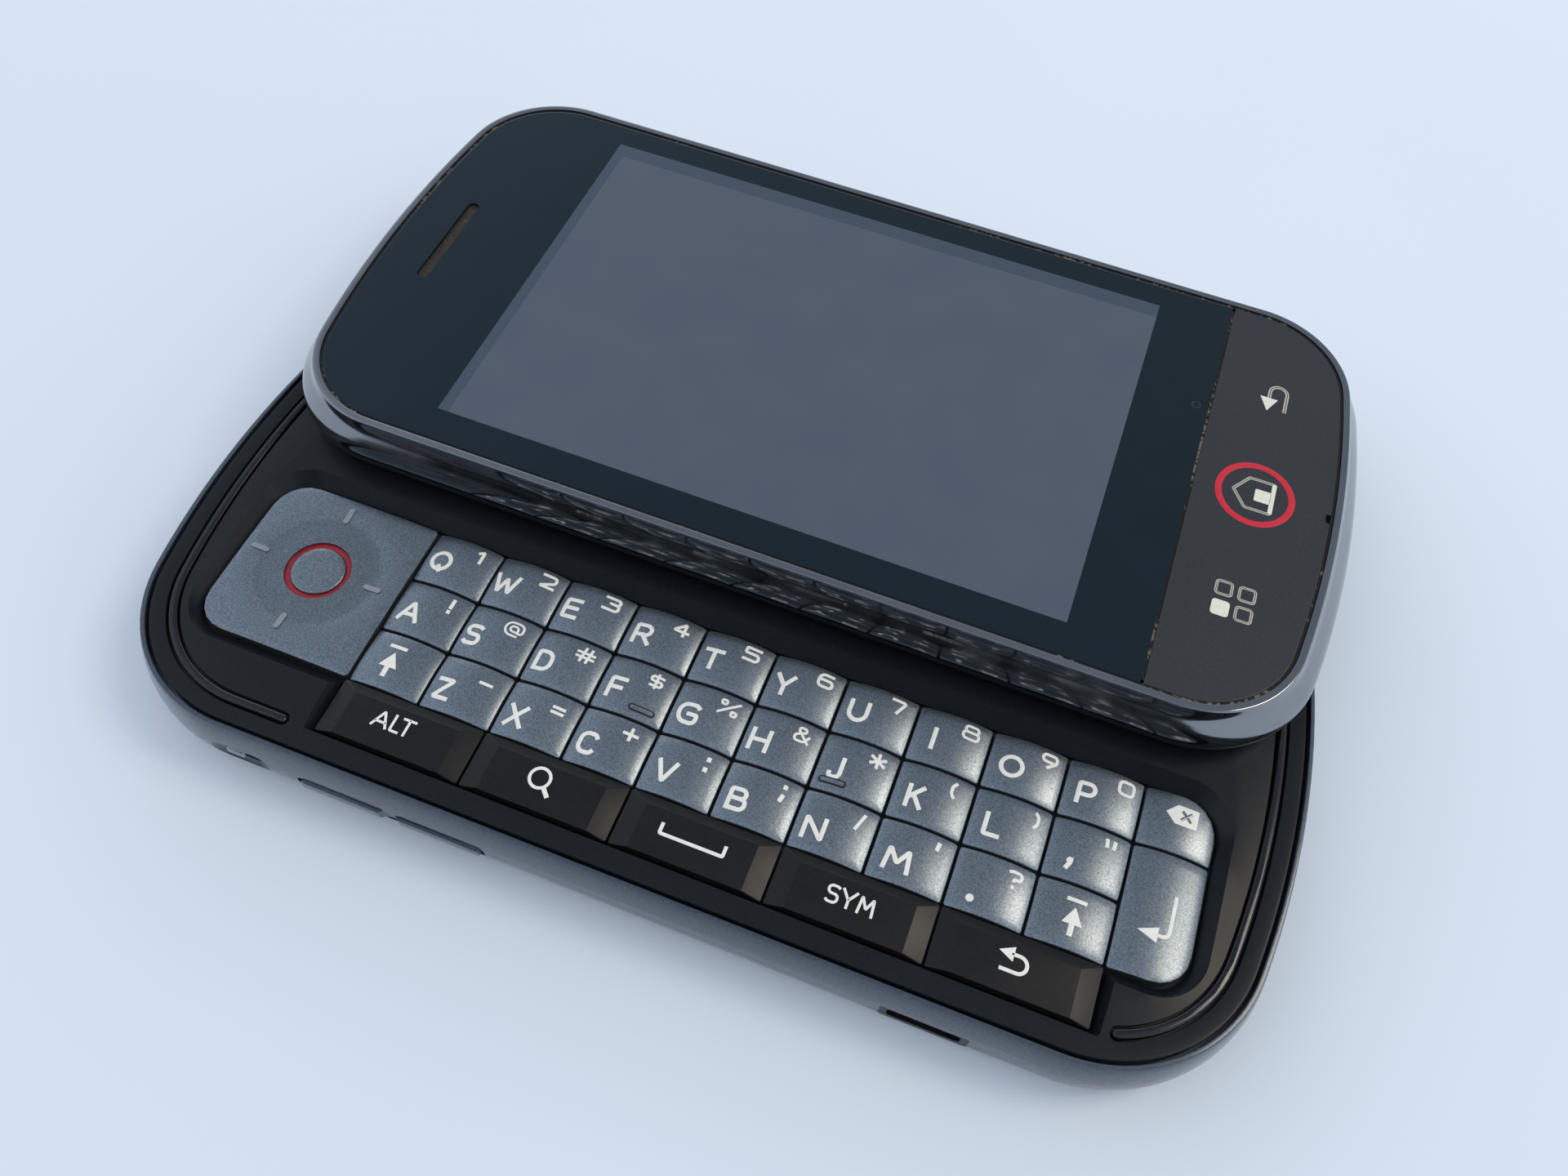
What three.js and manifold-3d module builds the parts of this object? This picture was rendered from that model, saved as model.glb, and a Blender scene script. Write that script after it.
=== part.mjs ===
// Side-sliding phone with a four-row keyboard, slid open. Lengths are in millimetres.
// +X runs along the phone towards the return key, +Y is the way the display half slides
// open and +Z is up. The origin is the centre of the base's flat back.

import * as THREE from 'three';
import { mergeVertices } from 'three/addons/utils/BufferGeometryUtils.js';
import Module from 'manifold-3d';

const wasm = await Module();
wasm.setup();

// Clearances
const fitGap = 0.3;
const keyGap = 0.35;
const overrun = 1;

// Base body outline and side
const bodyLength = 114;
const bodyWidth = 58;
const endArcRadius = 95;
const bodyCornerRadius = 16;
const baseThickness = 8.6;
const beltHeight = 4.5;
const backEdgeInset = 3.4;
const rimInset = 0.7;

// Rear housing walls
const wallThickness = 2;
const rimWall = 0.45;
const floorThickness = 0.8;

// Battery, its bay and the cover on the back
const coverThickness = 0.9;
const coverMargin = 4.2;
const batteryLeftMargin = 21;
const batteryRightMargin = 39;
const batteryFrontMargin = 10;
const batteryBackMargin = 12;
const batteryThickness = 3.9;
const batteryCornerRadius = 1.5;
const bayWall = 0.8;
const bayWeb = 0.5;

// Loudspeaker slits in the cover
const slitCount = 5;
const slitLength = 9;
const slitWidth = 0.8;
const slitPitch = 1.8;
const slitEndDistance = 19;

// Keyboard deck and the boards below it
const deckThickness = 1.6;
const keypadBoardThickness = 0.5;
const keypadBoardBack = 0.3;
const mainBoardThickness = 0.8;
const shieldLength = 24;
const shieldWidth = 26;
const shieldHeight = 1.7;

// Key field: direction pad, ten key columns and the end column
const fieldEndMargin = 8;
const columnCount = 10;
const rowPitch = 6.04;
const letterRowCount = 3;
const padWidth = 17.24;
const endKeyWidth = 7.12;
const barKeyDepth = 5.82;
const barKeyColumns = 2;
const frontMargin = 3.76;
const slopeDepth = 0.75;
const slopeSideWidth = 1.3;
const slopeBackWidth = 1.7;
const slopeFrontWidth = 1.2;
const barSlopeWidth = 0.9;

// Keys
const keyTravel = 0.25;
const keyRestGap = 0.1;
const letterKeyDrop = 0.3;
const letterCrown = 0.3;
const letterCrownInset = 0.55;
const keyCornerRadius = 0.4;
const fieldCornerRadius = 3.4;
const barKeyRise = 0.1;
const barCrown = 0.7;
const barFacetLength = 1.9;
const barEdgeInset = 0.25;
const padButtonRadius = 2.67;
const padHoleRadius = 3.27;
const padCentreOffsetX = -0.12;
const padCentreOffsetY = 0.26;

// Slide mechanism
const slideTravel = 29.5;
const displayGap = 0.4;
const railEndDistance = 17.4;
const railSideDistance = 4.6;
const railEndWall = 0.8;
const railSideWall = 0.8;
const railLip = 0.3;
const neckWidth = 3;
const flangeWidth = 6;
const flangeThickness = 0.7;
const guidePlateThickness = 0.6;
const guidePlateDrop = 0.1;
const guidePlateMargin = 4;
const carriageThickness = 0.4;

// Display half
const closedThickness = 15.6;
const displayEndInset = 1.6;
const displaySideInset = 1.4;
const displayEndRadius = 115;
const displayCornerRadius = 12.7;
const ringFootGap = 0.3;
const lipWidth = 0.75;
const lipBevel = 0.08;
const lipRise = 0.1;
const ringEndWidth = 3.6;
const ringSideWidth = 2.3;
const glassEndRadius = 129;
const glassCornerRadius = 9.7;
const glassThickness = 0.7;
const stripWidth = 13.95;
const seamGap = 0.3;
const trayWall = 0.7;
const trayFloor = 1.4;
const screenLeftMargin = 16.24;
const screenRightMargin = 7.91;
const screenFrontMargin = 3.58;
const screenBackMargin = 3.02;
const panelBorder = 1.2;
const panelThickness = 2.2;
const earSlotEndDistance = 5.6;
const earSlotLength = 12.6;
const earSlotWidth = 1.35;
const earBorder = 1.6;
const earThickness = 1.9;

// Keys and switch on the long sides
const keyFlangeThickness = 0.6;
const keyFlangeLip = 0.5;
const sideKeyTravel = 0.3;
const volumeEndDistance = 34.55;
const volumeKey = {
  x: volumeEndDistance - bodyLength / 2,
  z: 4.15,
  side: -1,
  length: 18.5,
  height: 1.4,
  proud: 0.22,
};
const volumeSlack = 0.1;
const volumeDipRadius = 1.4;
const volumeDipDepth = 0.45;
const cameraKeyEndDistance = 24;
const cameraKey = {
  x: bodyLength / 2 - cameraKeyEndDistance,
  z: 4.4,
  side: 1,
  length: 8.5,
  height: 1.9,
  proud: 0.5,
};
const powerKeyEndDistance = 25;
const powerKey = {
  x: powerKeyEndDistance - bodyLength / 2,
  z: 4.4,
  side: 1,
  length: 7,
  height: 1.7,
  proud: 0.4,
};
const ringerEndDistance = 18.9;
const ringerSlotLength = 3.9;
const ringerTravel = 1.3;
const ringerNub = { z: 4.5, side: -1, height: 1.1, proud: -0.1 };
const ringerScoop = { length: 6.4, height: 3, depth: 0.5 };

// Micro connector in the front side
const portEndDistance = 28;
const portWidth = 7.5;
const portHeight = 2.4;
const portDepth = 5;
const portRecess = 0.9;
const portMouthWidth = 6.8;
const portMouthHeight = 1.9;
const portMouthDepth = 4.2;
const portTongueWidth = 3.8;
const portTongueHeight = 0.6;
const portScoop = { length: 12.4, height: 4.2, depth: 0.7 };
const scoopMouthRadius = 1.2;
const scoopFootRadius = 0.6;

// Headphone socket in the left end
const jackBackDistance = 24;
const jackRadius = 2.3;
const jackBoreRadius = 1.75;
const jackLength = 12.5;
const jackBoreDepth = 11.5;
const jackRecess = 0.3;

// Camera in the back
const cameraEndDistance = 12;
const cameraBackDistance = 15;
const cameraBlock = 8.5;
const cameraBlockHeight = 3.3;
const lensRadius = 3.6;
const lensRecess = 0.35;

// Smoothness of the curves
const endSteps = 3;
const cornerSteps = 7;
const sideSteps = 5;
const shoulderSteps = 2;
const keyCornerSteps = 2;
const fieldCornerSteps = 5;
const circleSteps = 28;

// The display ring's side from the foot up. Each pair is the share of the way out from the
// lip to the widest outline, then the share of the height.
const ringSideShares = [
  [0.25, 0],
  [0.6, 0.08],
  [0.92, 0.19],
  [1, 0.35],
  [0.82, 0.51],
  [0.5, 0.67],
  [0.18, 0.825],
  [0, 0.985],
];

// Places along and across the base, measured from its ends and sides
const slitCentreX = bodyLength / 2 - slitEndDistance;
const portX = bodyLength / 2 - portEndDistance;
const cameraX = cameraEndDistance - bodyLength / 2;
const cameraY = bodyWidth / 2 - cameraBackDistance;
const jackY = bodyWidth / 2 - jackBackDistance;
const ringerSlotX = ringerEndDistance - bodyLength / 2;
const batteryLength = bodyLength - batteryLeftMargin - batteryRightMargin;
const batteryWidth = bodyWidth - batteryFrontMargin - batteryBackMargin;
const batteryCentreX = (batteryLeftMargin - batteryRightMargin) / 2;
const batteryCentreY = (batteryFrontMargin - batteryBackMargin) / 2;

// Places on the display half, measured from its own middle
const displayHalfLength = bodyLength / 2 - displayEndInset;
const displayHalfWidth = bodyWidth / 2 - displaySideInset;
const railCentreX = displayHalfLength - railEndDistance;
const railCavityHalfLength = displayHalfWidth - railSideDistance;
const glassHalfLength = displayHalfLength - ringEndWidth;
const glassHalfWidth = displayHalfWidth - ringSideWidth;
const seamX = glassHalfLength - stripWidth;
const earSlotX = earSlotEndDistance - glassHalfLength;
const screenLeft = screenLeftMargin - glassHalfLength;
const screenRight = seamX - screenRightMargin;
const screenFront = screenFrontMargin - glassHalfWidth;
const screenBack = glassHalfWidth - screenBackMargin;

// Levels that several pieces share
const deckBottom = baseThickness - deckThickness;
const ledgeHeight = deckBottom - fitGap;
const housingFloorBottom = coverThickness + fitGap;
const housingFloorTop = housingFloorBottom + floorThickness;
const keypadBoardTop = deckBottom - fitGap;
const keypadBoardBottom = keypadBoardTop - keypadBoardThickness;
const bayTop = keypadBoardBottom - fitGap;
const batteryTop = bayTop - bayWeb - fitGap;
const batteryBottom = batteryTop - batteryThickness;
const keyBottom = keypadBoardTop + keyTravel + keyRestGap;
const boardEdgeGap = keyFlangeThickness + sideKeyTravel + 2 * fitGap;
const displayBottom = baseThickness + displayGap;
const ringBottom = displayBottom + ringFootGap;
const glassTop = closedThickness - lipRise;
const glassBottom = glassTop - glassThickness;
const trayTop = glassBottom - fitGap;

// Key field lines, halfway along the gaps between keys
const fieldLength = bodyLength - 2 * fieldEndMargin;
const columnPitch = (fieldLength - padWidth - endKeyWidth) / columnCount;
const fieldLeft = -fieldLength / 2;
const firstColumnX = fieldLeft + padWidth;
const lastColumnX = firstColumnX + columnCount * columnPitch;
const fieldRight = fieldLength / 2;
const fieldFront = frontMargin - bodyWidth / 2;
const barKeyBack = fieldFront + barKeyDepth;
const fieldBack = barKeyBack + letterRowCount * rowPitch;

const finishes = {
  housing: { color: 0x3a4656, roughness: 0.42, metalness: 0.35 },
  cover: { color: 0x2a2d33, roughness: 0.6, metalness: 0.05 },
  deck: { color: 0x25252b, roughness: 0.5, metalness: 0.1 },
  letterKey: { color: 0x6a6f77, roughness: 0.45, metalness: 0.4 },
  barKey: { color: 0x1c1c21, roughness: 0.3, metalness: 0.1 },
  ring: { color: 0x4b4f57, roughness: 0.2, metalness: 0.8 },
  glass: { color: 0x1a2228, roughness: 0.05, metalness: 0 },
  strip: { color: 0x35363d, roughness: 0.5, metalness: 0 },
  panel: { color: 0x525d6b, roughness: 0.3, metalness: 0 },
  steel: { color: 0x9a9da2, roughness: 0.35, metalness: 0.9 },
  board: { color: 0x1f4a34, roughness: 0.6, metalness: 0 },
  battery: { color: 0x2b2b2e, roughness: 0.6, metalness: 0 },
  black: { color: 0x131316, roughness: 0.4, metalness: 0 },
};

// Outlines with slightly bulged ends and round corners
const bodyOutline = {
  halfLength: bodyLength / 2,
  halfWidth: bodyWidth / 2,
  endRadius: endArcRadius,
  cornerRadius: bodyCornerRadius,
};
const displayOutline = {
  halfLength: displayHalfLength,
  halfWidth: displayHalfWidth,
  endRadius: displayEndRadius,
  cornerRadius: displayCornerRadius,
};
const glassOutline = {
  halfLength: glassHalfLength,
  halfWidth: glassHalfWidth,
  endRadius: glassEndRadius,
  cornerRadius: glassCornerRadius,
};

function insetOutline(outline, distance) {
  return {
    halfLength: outline.halfLength - distance,
    halfWidth: outline.halfWidth - distance,
    endRadius: outline.endRadius - distance,
    cornerRadius: outline.cornerRadius - distance,
  };
}

// Anticlockwise points: an end arc, then a corner arc, mirrored into the four quarters.
function outlinePoints(outline) {
  const endCentre = outline.halfLength - outline.endRadius;
  const cornerY = outline.halfWidth - outline.cornerRadius;
  const reach = Math.sqrt((outline.endRadius - outline.cornerRadius) ** 2 - cornerY ** 2);
  const endAngle = Math.atan2(cornerY, reach);
  const quarter = [];
  for (let i = 0; i <= endSteps; i += 1) {
    const angle = (endAngle * i) / endSteps;
    const x = endCentre + outline.endRadius * Math.cos(angle);
    quarter.push(new THREE.Vector2(x, outline.endRadius * Math.sin(angle)));
  }
  for (let i = 1; i <= cornerSteps; i += 1) {
    const angle = endAngle + ((Math.PI / 2 - endAngle) * i) / cornerSteps;
    const x = endCentre + reach + outline.cornerRadius * Math.cos(angle);
    quarter.push(new THREE.Vector2(x, cornerY + outline.cornerRadius * Math.sin(angle)));
  }
  const backwards = quarter.slice().reverse();
  return [
    ...quarter,
    ...backwards.map((p) => new THREE.Vector2(-p.x, p.y)),
    ...quarter.slice(1).map((p) => new THREE.Vector2(-p.x, -p.y)),
    ...backwards.slice(0, -1).map((p) => new THREE.Vector2(p.x, -p.y)),
  ];
}

// A rectangle with a radius for each corner, from the far right corner anticlockwise.
function roundedRectangle(x0, x1, y0, y1, radii, steps) {
  const corners = [
    { x: x1, y: y1, sx: -1, sy: -1 },
    { x: x0, y: y1, sx: 1, sy: -1 },
    { x: x0, y: y0, sx: 1, sy: 1 },
    { x: x1, y: y0, sx: -1, sy: 1 },
  ];
  const points = [];
  corners.forEach((corner, index) => {
    const radius = radii[index];
    for (let i = 0; i <= steps; i += 1) {
      const angle = (Math.PI / 2) * (index + i / steps);
      const x = corner.x + radius * (corner.sx + Math.cos(angle));
      const y = corner.y + radius * (corner.sy + Math.sin(angle));
      points.push(new THREE.Vector2(x, y));
    }
  });
  return points;
}

// A closed solid through outlines of equal point count, stacked from the bottom up.
function stackedSolid(levels) {
  const count = levels[0].points.length;
  const positions = [];
  const triangles = [];
  for (const level of levels) {
    for (const point of level.points) {
      positions.push(point.x, point.y, level.z);
    }
  }
  for (let row = 0; row < levels.length - 1; row += 1) {
    for (let i = 0; i < count; i += 1) {
      const a = row * count + i;
      const b = row * count + ((i + 1) % count);
      triangles.push(a, b, b + count, a, b + count, a + count);
    }
  }
  const top = (levels.length - 1) * count;
  for (const [a, b, c] of THREE.ShapeUtils.triangulateShape(levels[0].points, [])) {
    triangles.push(a, c, b);
  }
  for (const [a, b, c] of THREE.ShapeUtils.triangulateShape(levels.at(-1).points, [])) {
    triangles.push(top + a, top + b, top + c);
  }
  return indexedGeometry(positions, triangles);
}

// A closed ring through outlines of equal point count; the last one meets the first.
function ringSolid(levels) {
  const count = levels[0].points.length;
  const positions = [];
  const triangles = [];
  for (const level of levels) {
    for (const point of level.points) {
      positions.push(point.x, point.y, level.z);
    }
  }
  for (let row = 0; row < levels.length; row += 1) {
    const above = ((row + 1) % levels.length) * count;
    for (let i = 0; i < count; i += 1) {
      const next = (i + 1) % count;
      const a = row * count + i;
      const b = row * count + next;
      triangles.push(a, b, above + next, a, above + next, above + i);
    }
  }
  return indexedGeometry(positions, triangles);
}

function indexedGeometry(positions, triangles) {
  const geometry = new THREE.BufferGeometry();
  geometry.setAttribute('position', new THREE.Float32BufferAttribute(positions, 3));
  geometry.setIndex(triangles);
  geometry.computeVertexNormals();
  return geometry;
}

function prism(points, z0, z1) {
  return stackedSolid([
    { points, z: z0 },
    { points, z: z1 },
  ]);
}

function block(x0, x1, y0, y1, z0, z1) {
  const geometry = new THREE.BoxGeometry(x1 - x0, y1 - y0, z1 - z0);
  return geometry.translate((x0 + x1) / 2, (y0 + y1) / 2, (z0 + z1) / 2);
}

function uprightCylinder(radius, z0, z1, x, y) {
  const geometry = new THREE.CylinderGeometry(radius, radius, z1 - z0, circleSteps);
  return geometry.rotateX(Math.PI / 2).translate(x, y, (z0 + z1) / 2);
}

function lengthwiseCylinder(radius, x0, x1, y, z) {
  const geometry = new THREE.CylinderGeometry(radius, radius, x1 - x0, circleSteps);
  return geometry.rotateZ(Math.PI / 2).translate((x0 + x1) / 2, y, z);
}

function toSolid(geometry) {
  const bare = geometry.clone();
  bare.deleteAttribute('normal');
  bare.deleteAttribute('uv');
  const merged = mergeVertices(bare);
  return new wasm.Manifold(new wasm.Mesh({
    numProp: 3,
    vertProperties: Float32Array.from(merged.attributes.position.array),
    triVerts: Uint32Array.from(merged.index.array),
  }));
}

function toGeometry(solid) {
  const mesh = solid.getMesh();
  return indexedGeometry(Array.from(mesh.vertProperties), Array.from(mesh.triVerts));
}

function join(...bodies) {
  return toGeometry(bodies.map(toSolid).reduce((sum, next) => sum.add(next)));
}

function cut(body, ...cutters) {
  return toGeometry(cutters.map(toSolid).reduce((left, next) => left.subtract(next), toSolid(body)));
}

function common(body, other) {
  return toGeometry(toSolid(body).intersect(toSolid(other)));
}

// The base's side: a quarter ellipse from the back up to the belt, then a slow curve in.
function baseSideLevels() {
  const levels = [];
  for (let i = 0; i <= sideSteps; i += 1) {
    const angle = (Math.PI / 2) * (1 - i / sideSteps);
    const distance = backEdgeInset * (1 - Math.cos(angle));
    const points = outlinePoints(insetOutline(bodyOutline, distance));
    levels.push({ points, z: beltHeight * (1 - Math.sin(angle)) });
  }
  for (let i = 1; i <= shoulderSteps; i += 1) {
    const share = i / shoulderSteps;
    const points = outlinePoints(insetOutline(bodyOutline, rimInset * share ** 2));
    levels.push({ points, z: beltHeight + (baseThickness - beltHeight) * share });
  }
  return levels;
}

// A key in a long side, with its length along X and pressed along Y. The bar passes the
// wall and a flange behind the wall holds it in.
function sideKeyShape(key, slack) {
  const flangeOuter = -wallThickness - fitGap - slack;
  const flangeInner = flangeOuter - keyFlangeThickness;
  const halfLength = key.length / 2;
  const halfHeight = key.height / 2;
  const bar = block(-halfLength, halfLength, flangeInner, key.proud, -halfHeight, halfHeight);
  const flange = block(
    -halfLength - keyFlangeLip,
    halfLength + keyFlangeLip,
    flangeInner,
    flangeOuter,
    -halfHeight - keyFlangeLip,
    halfHeight + keyFlangeLip,
  );
  return join(bar, flange);
}

// The window in a long side for a key, with its own gap at the key's ends.
function sideWindow(key, gap) {
  const wallY = key.side * (bodyWidth / 2);
  const inner = wallY - key.side * (wallThickness + overrun);
  const outer = wallY + key.side * overrun;
  return block(
    key.x - key.length / 2 - gap,
    key.x + key.length / 2 + gap,
    Math.min(inner, outer),
    Math.max(inner, outer),
    key.z - key.height / 2 - fitGap,
    key.z + key.height / 2 + fitGap,
  );
}

function placeOnSide(mesh, key) {
  mesh.position.set(key.x, key.side * (bodyWidth / 2), key.z);
  mesh.rotation.z = key.side > 0 ? 0 : Math.PI;
}

// The volume rocker's outer face dips in the middle, between its two ends.
function volumeRockerShape() {
  const dip = uprightCylinder(
    volumeDipRadius,
    -volumeKey.height,
    volumeKey.height,
    0,
    volumeKey.proud + volumeDipRadius - volumeDipDepth,
  );
  return cut(sideKeyShape(volumeKey, volumeSlack), dip);
}

// Batteries sit in a walled bay that opens to the back.
function bayBlock(margin, z0, z1) {
  const halfLength = batteryLength / 2 + margin;
  const halfWidth = batteryWidth / 2 + margin;
  return block(
    batteryCentreX - halfLength,
    batteryCentreX + halfLength,
    batteryCentreY - halfWidth,
    batteryCentreY + halfWidth,
    z0,
    z1,
  );
}

const portBottom = housingFloorTop + fitGap;
const portCentreZ = portBottom + portHeight / 2;
const portFrontY = portRecess - bodyWidth / 2;

// A shallow scoop in the front side that narrows towards a window through the wall.
function scoopCutter(x, z, windowLength, windowHeight, scoop) {
  const rectangle = (length, height, radius) => roundedRectangle(
    -length / 2, length / 2, -height / 2, height / 2, Array(4).fill(radius), keyCornerSteps,
  );
  const window = rectangle(windowLength, windowHeight, scoopFootRadius);
  const mouth = rectangle(scoop.length, scoop.height, scoopMouthRadius);
  const cutter = stackedSolid([
    { points: window, z: -wallThickness - overrun },
    { points: window, z: -scoop.depth },
    { points: mouth, z: 0 },
    { points: mouth, z: overrun },
  ]);
  return cutter.rotateX(Math.PI / 2).translate(x, -bodyWidth / 2, z);
}

function rearHousing() {
  const shell = stackedSolid(baseSideLevels());
  const cavity = prism(
    outlinePoints(insetOutline(bodyOutline, wallThickness)),
    housingFloorTop,
    baseThickness + overrun,
  );
  const rebate = prism(
    outlinePoints(insetOutline(bodyOutline, rimInset + rimWall)),
    ledgeHeight,
    baseThickness + overrun,
  );
  const bay = bayBlock(fitGap + bayWall, housingFloorBottom, bayTop);
  return cut(
    join(cut(shell, cavity, rebate), bay),
    prism(outlinePoints(insetOutline(bodyOutline, coverMargin)), -overrun, housingFloorBottom),
    bayBlock(fitGap, 0, bayTop - bayWeb),
    uprightCylinder(lensRadius + fitGap, 0, housingFloorTop + overrun, cameraX, cameraY),
    lengthwiseCylinder(
      jackRadius + fitGap,
      -bodyLength / 2 - overrun,
      -bodyLength / 2 + wallThickness + overrun,
      jackY,
      beltHeight,
    ),
    sideWindow(volumeKey, keyGap),
    sideWindow(cameraKey, fitGap),
    sideWindow(powerKey, fitGap),
    scoopCutter(
      ringerSlotX, ringerNub.z, ringerSlotLength, ringerNub.height + 2 * fitGap, ringerScoop,
    ),
    scoopCutter(
      portX, portCentreZ, portWidth + 2 * fitGap, portHeight + 2 * fitGap, portScoop,
    ),
  );
}

function batteryCover() {
  const plate = prism(
    outlinePoints(insetOutline(bodyOutline, coverMargin + fitGap)),
    0,
    coverThickness,
  );
  const cutters = [
    uprightCylinder(lensRadius + 2 * fitGap, -overrun, coverThickness + overrun, cameraX, cameraY),
  ];
  for (let i = 0; i < slitCount; i += 1) {
    const x = slitCentreX + (i - (slitCount - 1) / 2) * slitPitch;
    cutters.push(block(
      x - slitWidth / 2,
      x + slitWidth / 2,
      -slitLength / 2,
      slitLength / 2,
      -overrun,
      coverThickness + overrun,
    ));
  }
  return cut(plate, ...cutters);
}

function battery() {
  const radii = Array(4).fill(batteryCornerRadius);
  const points = roundedRectangle(
    batteryCentreX - batteryLength / 2,
    batteryCentreX + batteryLength / 2,
    batteryCentreY - batteryWidth / 2,
    batteryCentreY + batteryWidth / 2,
    radii,
    fieldCornerSteps,
  );
  return prism(points, batteryBottom, batteryTop);
}

// A pocket with straight walls up to the slope's foot, which then opens out to the deck.
function slopedPocket(inner, outer) {
  return stackedSolid([
    { points: inner, z: deckBottom - overrun },
    { points: inner, z: baseThickness - slopeDepth },
    { points: outer, z: baseThickness },
    { points: outer, z: baseThickness + overrun },
  ]);
}

function keypadDeck() {
  const plate = prism(
    outlinePoints(insetOutline(bodyOutline, rimInset + rimWall + fitGap)),
    deckBottom,
    baseThickness,
  );
  const edge = keyGap / 2;
  const innerRadii = Array(4).fill(fieldCornerRadius + edge);
  const outerRadii = Array(4).fill(fieldCornerRadius + slopeSideWidth);
  const field = slopedPocket(
    roundedRectangle(
      fieldLeft - edge, fieldRight + edge, barKeyBack - edge, fieldBack + edge,
      innerRadii, fieldCornerSteps,
    ),
    roundedRectangle(
      fieldLeft - slopeSideWidth, fieldRight + slopeSideWidth,
      barKeyBack - slopeFrontWidth, fieldBack + slopeBackWidth,
      outerRadii, fieldCornerSteps,
    ),
  );
  const barRadii = Array(4).fill(keyCornerRadius);
  const bars = slopedPocket(
    roundedRectangle(
      firstColumnX - edge, lastColumnX + edge, fieldFront - edge, barKeyBack + rowPitch,
      barRadii, keyCornerSteps,
    ),
    roundedRectangle(
      firstColumnX - barSlopeWidth, lastColumnX + barSlopeWidth,
      fieldFront - edge, barKeyBack + rowPitch,
      barRadii, keyCornerSteps,
    ),
  );
  const guideRecess = block(
    -guideHalfLength - fitGap,
    guideHalfLength + fitGap,
    guideFront - fitGap,
    guideBack + fitGap,
    guidePlateTop - guidePlateThickness - fitGap,
    baseThickness + overrun,
  );
  return cut(plate, field, bars, guideRecess);
}

// The keypad board lies under the front half of the deck, inside the housing's wall, and
// leaves room for the headphone socket.
function keypadBoard() {
  const sheet = prism(
    outlinePoints(insetOutline(bodyOutline, wallThickness + boardEdgeGap)),
    keypadBoardBottom,
    keypadBoardTop,
  );
  const frontHalf = block(
    -bodyLength / 2,
    bodyLength / 2,
    -bodyWidth / 2,
    fieldBack + keypadBoardBack,
    keypadBoardBottom - overrun,
    keypadBoardTop + overrun,
  );
  const socketRoom = block(
    -bodyLength / 2,
    jackRecess - bodyLength / 2 + jackLength + fitGap,
    jackY - jackRadius - fitGap,
    jackY + jackRadius + fitGap,
    keypadBoardBottom - overrun,
    keypadBoardTop + overrun,
  );
  return cut(common(sheet, frontHalf), socketRoom);
}

// The main board fills the housing beside the battery bay and carries a shield can. The
// connector sits in a notch of its front edge.
function mainBoard() {
  const bottom = housingFloorTop + fitGap;
  const top = bottom + mainBoardThickness;
  const left = batteryCentreX + batteryLength / 2 + fitGap + bayWall + fitGap;
  const right = bodyLength / 2 - wallThickness - boardEdgeGap;
  const sheet = prism(
    outlinePoints(insetOutline(bodyOutline, wallThickness + boardEdgeGap)),
    bottom,
    top,
  );
  const besideBay = block(
    left, bodyLength / 2, -bodyWidth / 2, bodyWidth / 2, bottom - overrun, top + overrun,
  );
  const canX = (left + right) / 2;
  const can = block(
    canX - shieldLength / 2,
    canX + shieldLength / 2,
    -shieldWidth / 2,
    shieldWidth / 2,
    bottom,
    top + shieldHeight,
  );
  const notch = block(
    portX - portWidth / 2 - fitGap,
    portX + portWidth / 2 + fitGap,
    -bodyWidth / 2,
    portFrontY + portDepth + fitGap,
    bottom - overrun,
    top + overrun,
  );
  return join(cut(common(sheet, besideBay), notch), can);
}

// A key cap: straight walls up to a shoulder, then a crown drawn in to the top.
function keyCap(x0, x1, y0, y1, radii, top, crown, insetX, insetY) {
  const edge = keyGap / 2;
  const left = x0 + edge;
  const right = x1 - edge;
  const front = y0 + edge;
  const back = y1 - edge;
  const base = roundedRectangle(left, right, front, back, radii, fieldCornerSteps);
  const crownPoints = roundedRectangle(
    left + insetX, right - insetX, front + insetY, back - insetY, radii, fieldCornerSteps,
  );
  return stackedSolid([
    { points: base, z: keyBottom },
    { points: base, z: top - crown },
    { points: crownPoints, z: top },
  ]);
}

function letterCap(x0, x1, y0, y1, radii) {
  const top = baseThickness - letterKeyDrop;
  return keyCap(x0, x1, y0, y1, radii, top, letterCrown, letterCrownInset, letterCrownInset);
}

function barCap(x0, x1, y0, y1) {
  const radii = Array(4).fill(keyCornerRadius);
  const top = baseThickness + barKeyRise;
  return keyCap(x0, x1, y0, y1, radii, top, barCrown, barFacetLength, barEdgeInset);
}

const padCentreX = (fieldLeft + firstColumnX) / 2 + padCentreOffsetX;
const padCentreY = (barKeyBack + fieldBack) / 2 + padCentreOffsetY;
const padTop = baseThickness - letterKeyDrop;

function directionPad() {
  const radii = [keyCornerRadius, fieldCornerRadius, fieldCornerRadius, keyCornerRadius];
  const plate = letterCap(fieldLeft, firstColumnX, barKeyBack, fieldBack, radii);
  const hole = uprightCylinder(
    padHoleRadius, keyBottom - overrun, padTop + overrun, padCentreX, padCentreY,
  );
  return cut(plate, hole);
}

// Slide mechanism: two T-section rails on a plate in the deck, each held in a channel.
const guidePlateTop = baseThickness - guidePlateDrop;
const flangeBottom = displayBottom + ringFootGap + railLip;
const guideHalfLength = railCentreX + guidePlateMargin;
const guideFront = slideTravel - railCavityHalfLength + fitGap;
const guideBack = railCavityHalfLength - fitGap;
const channelBottom = displayBottom + (flangeBottom - displayBottom - fitGap) - railLip;
const channelRoof = flangeBottom + flangeThickness + fitGap;
const channelHalfWidth = flangeWidth / 2 + fitGap + railSideWall;
const channelHalfLength = railCavityHalfLength + railEndWall;

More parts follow.
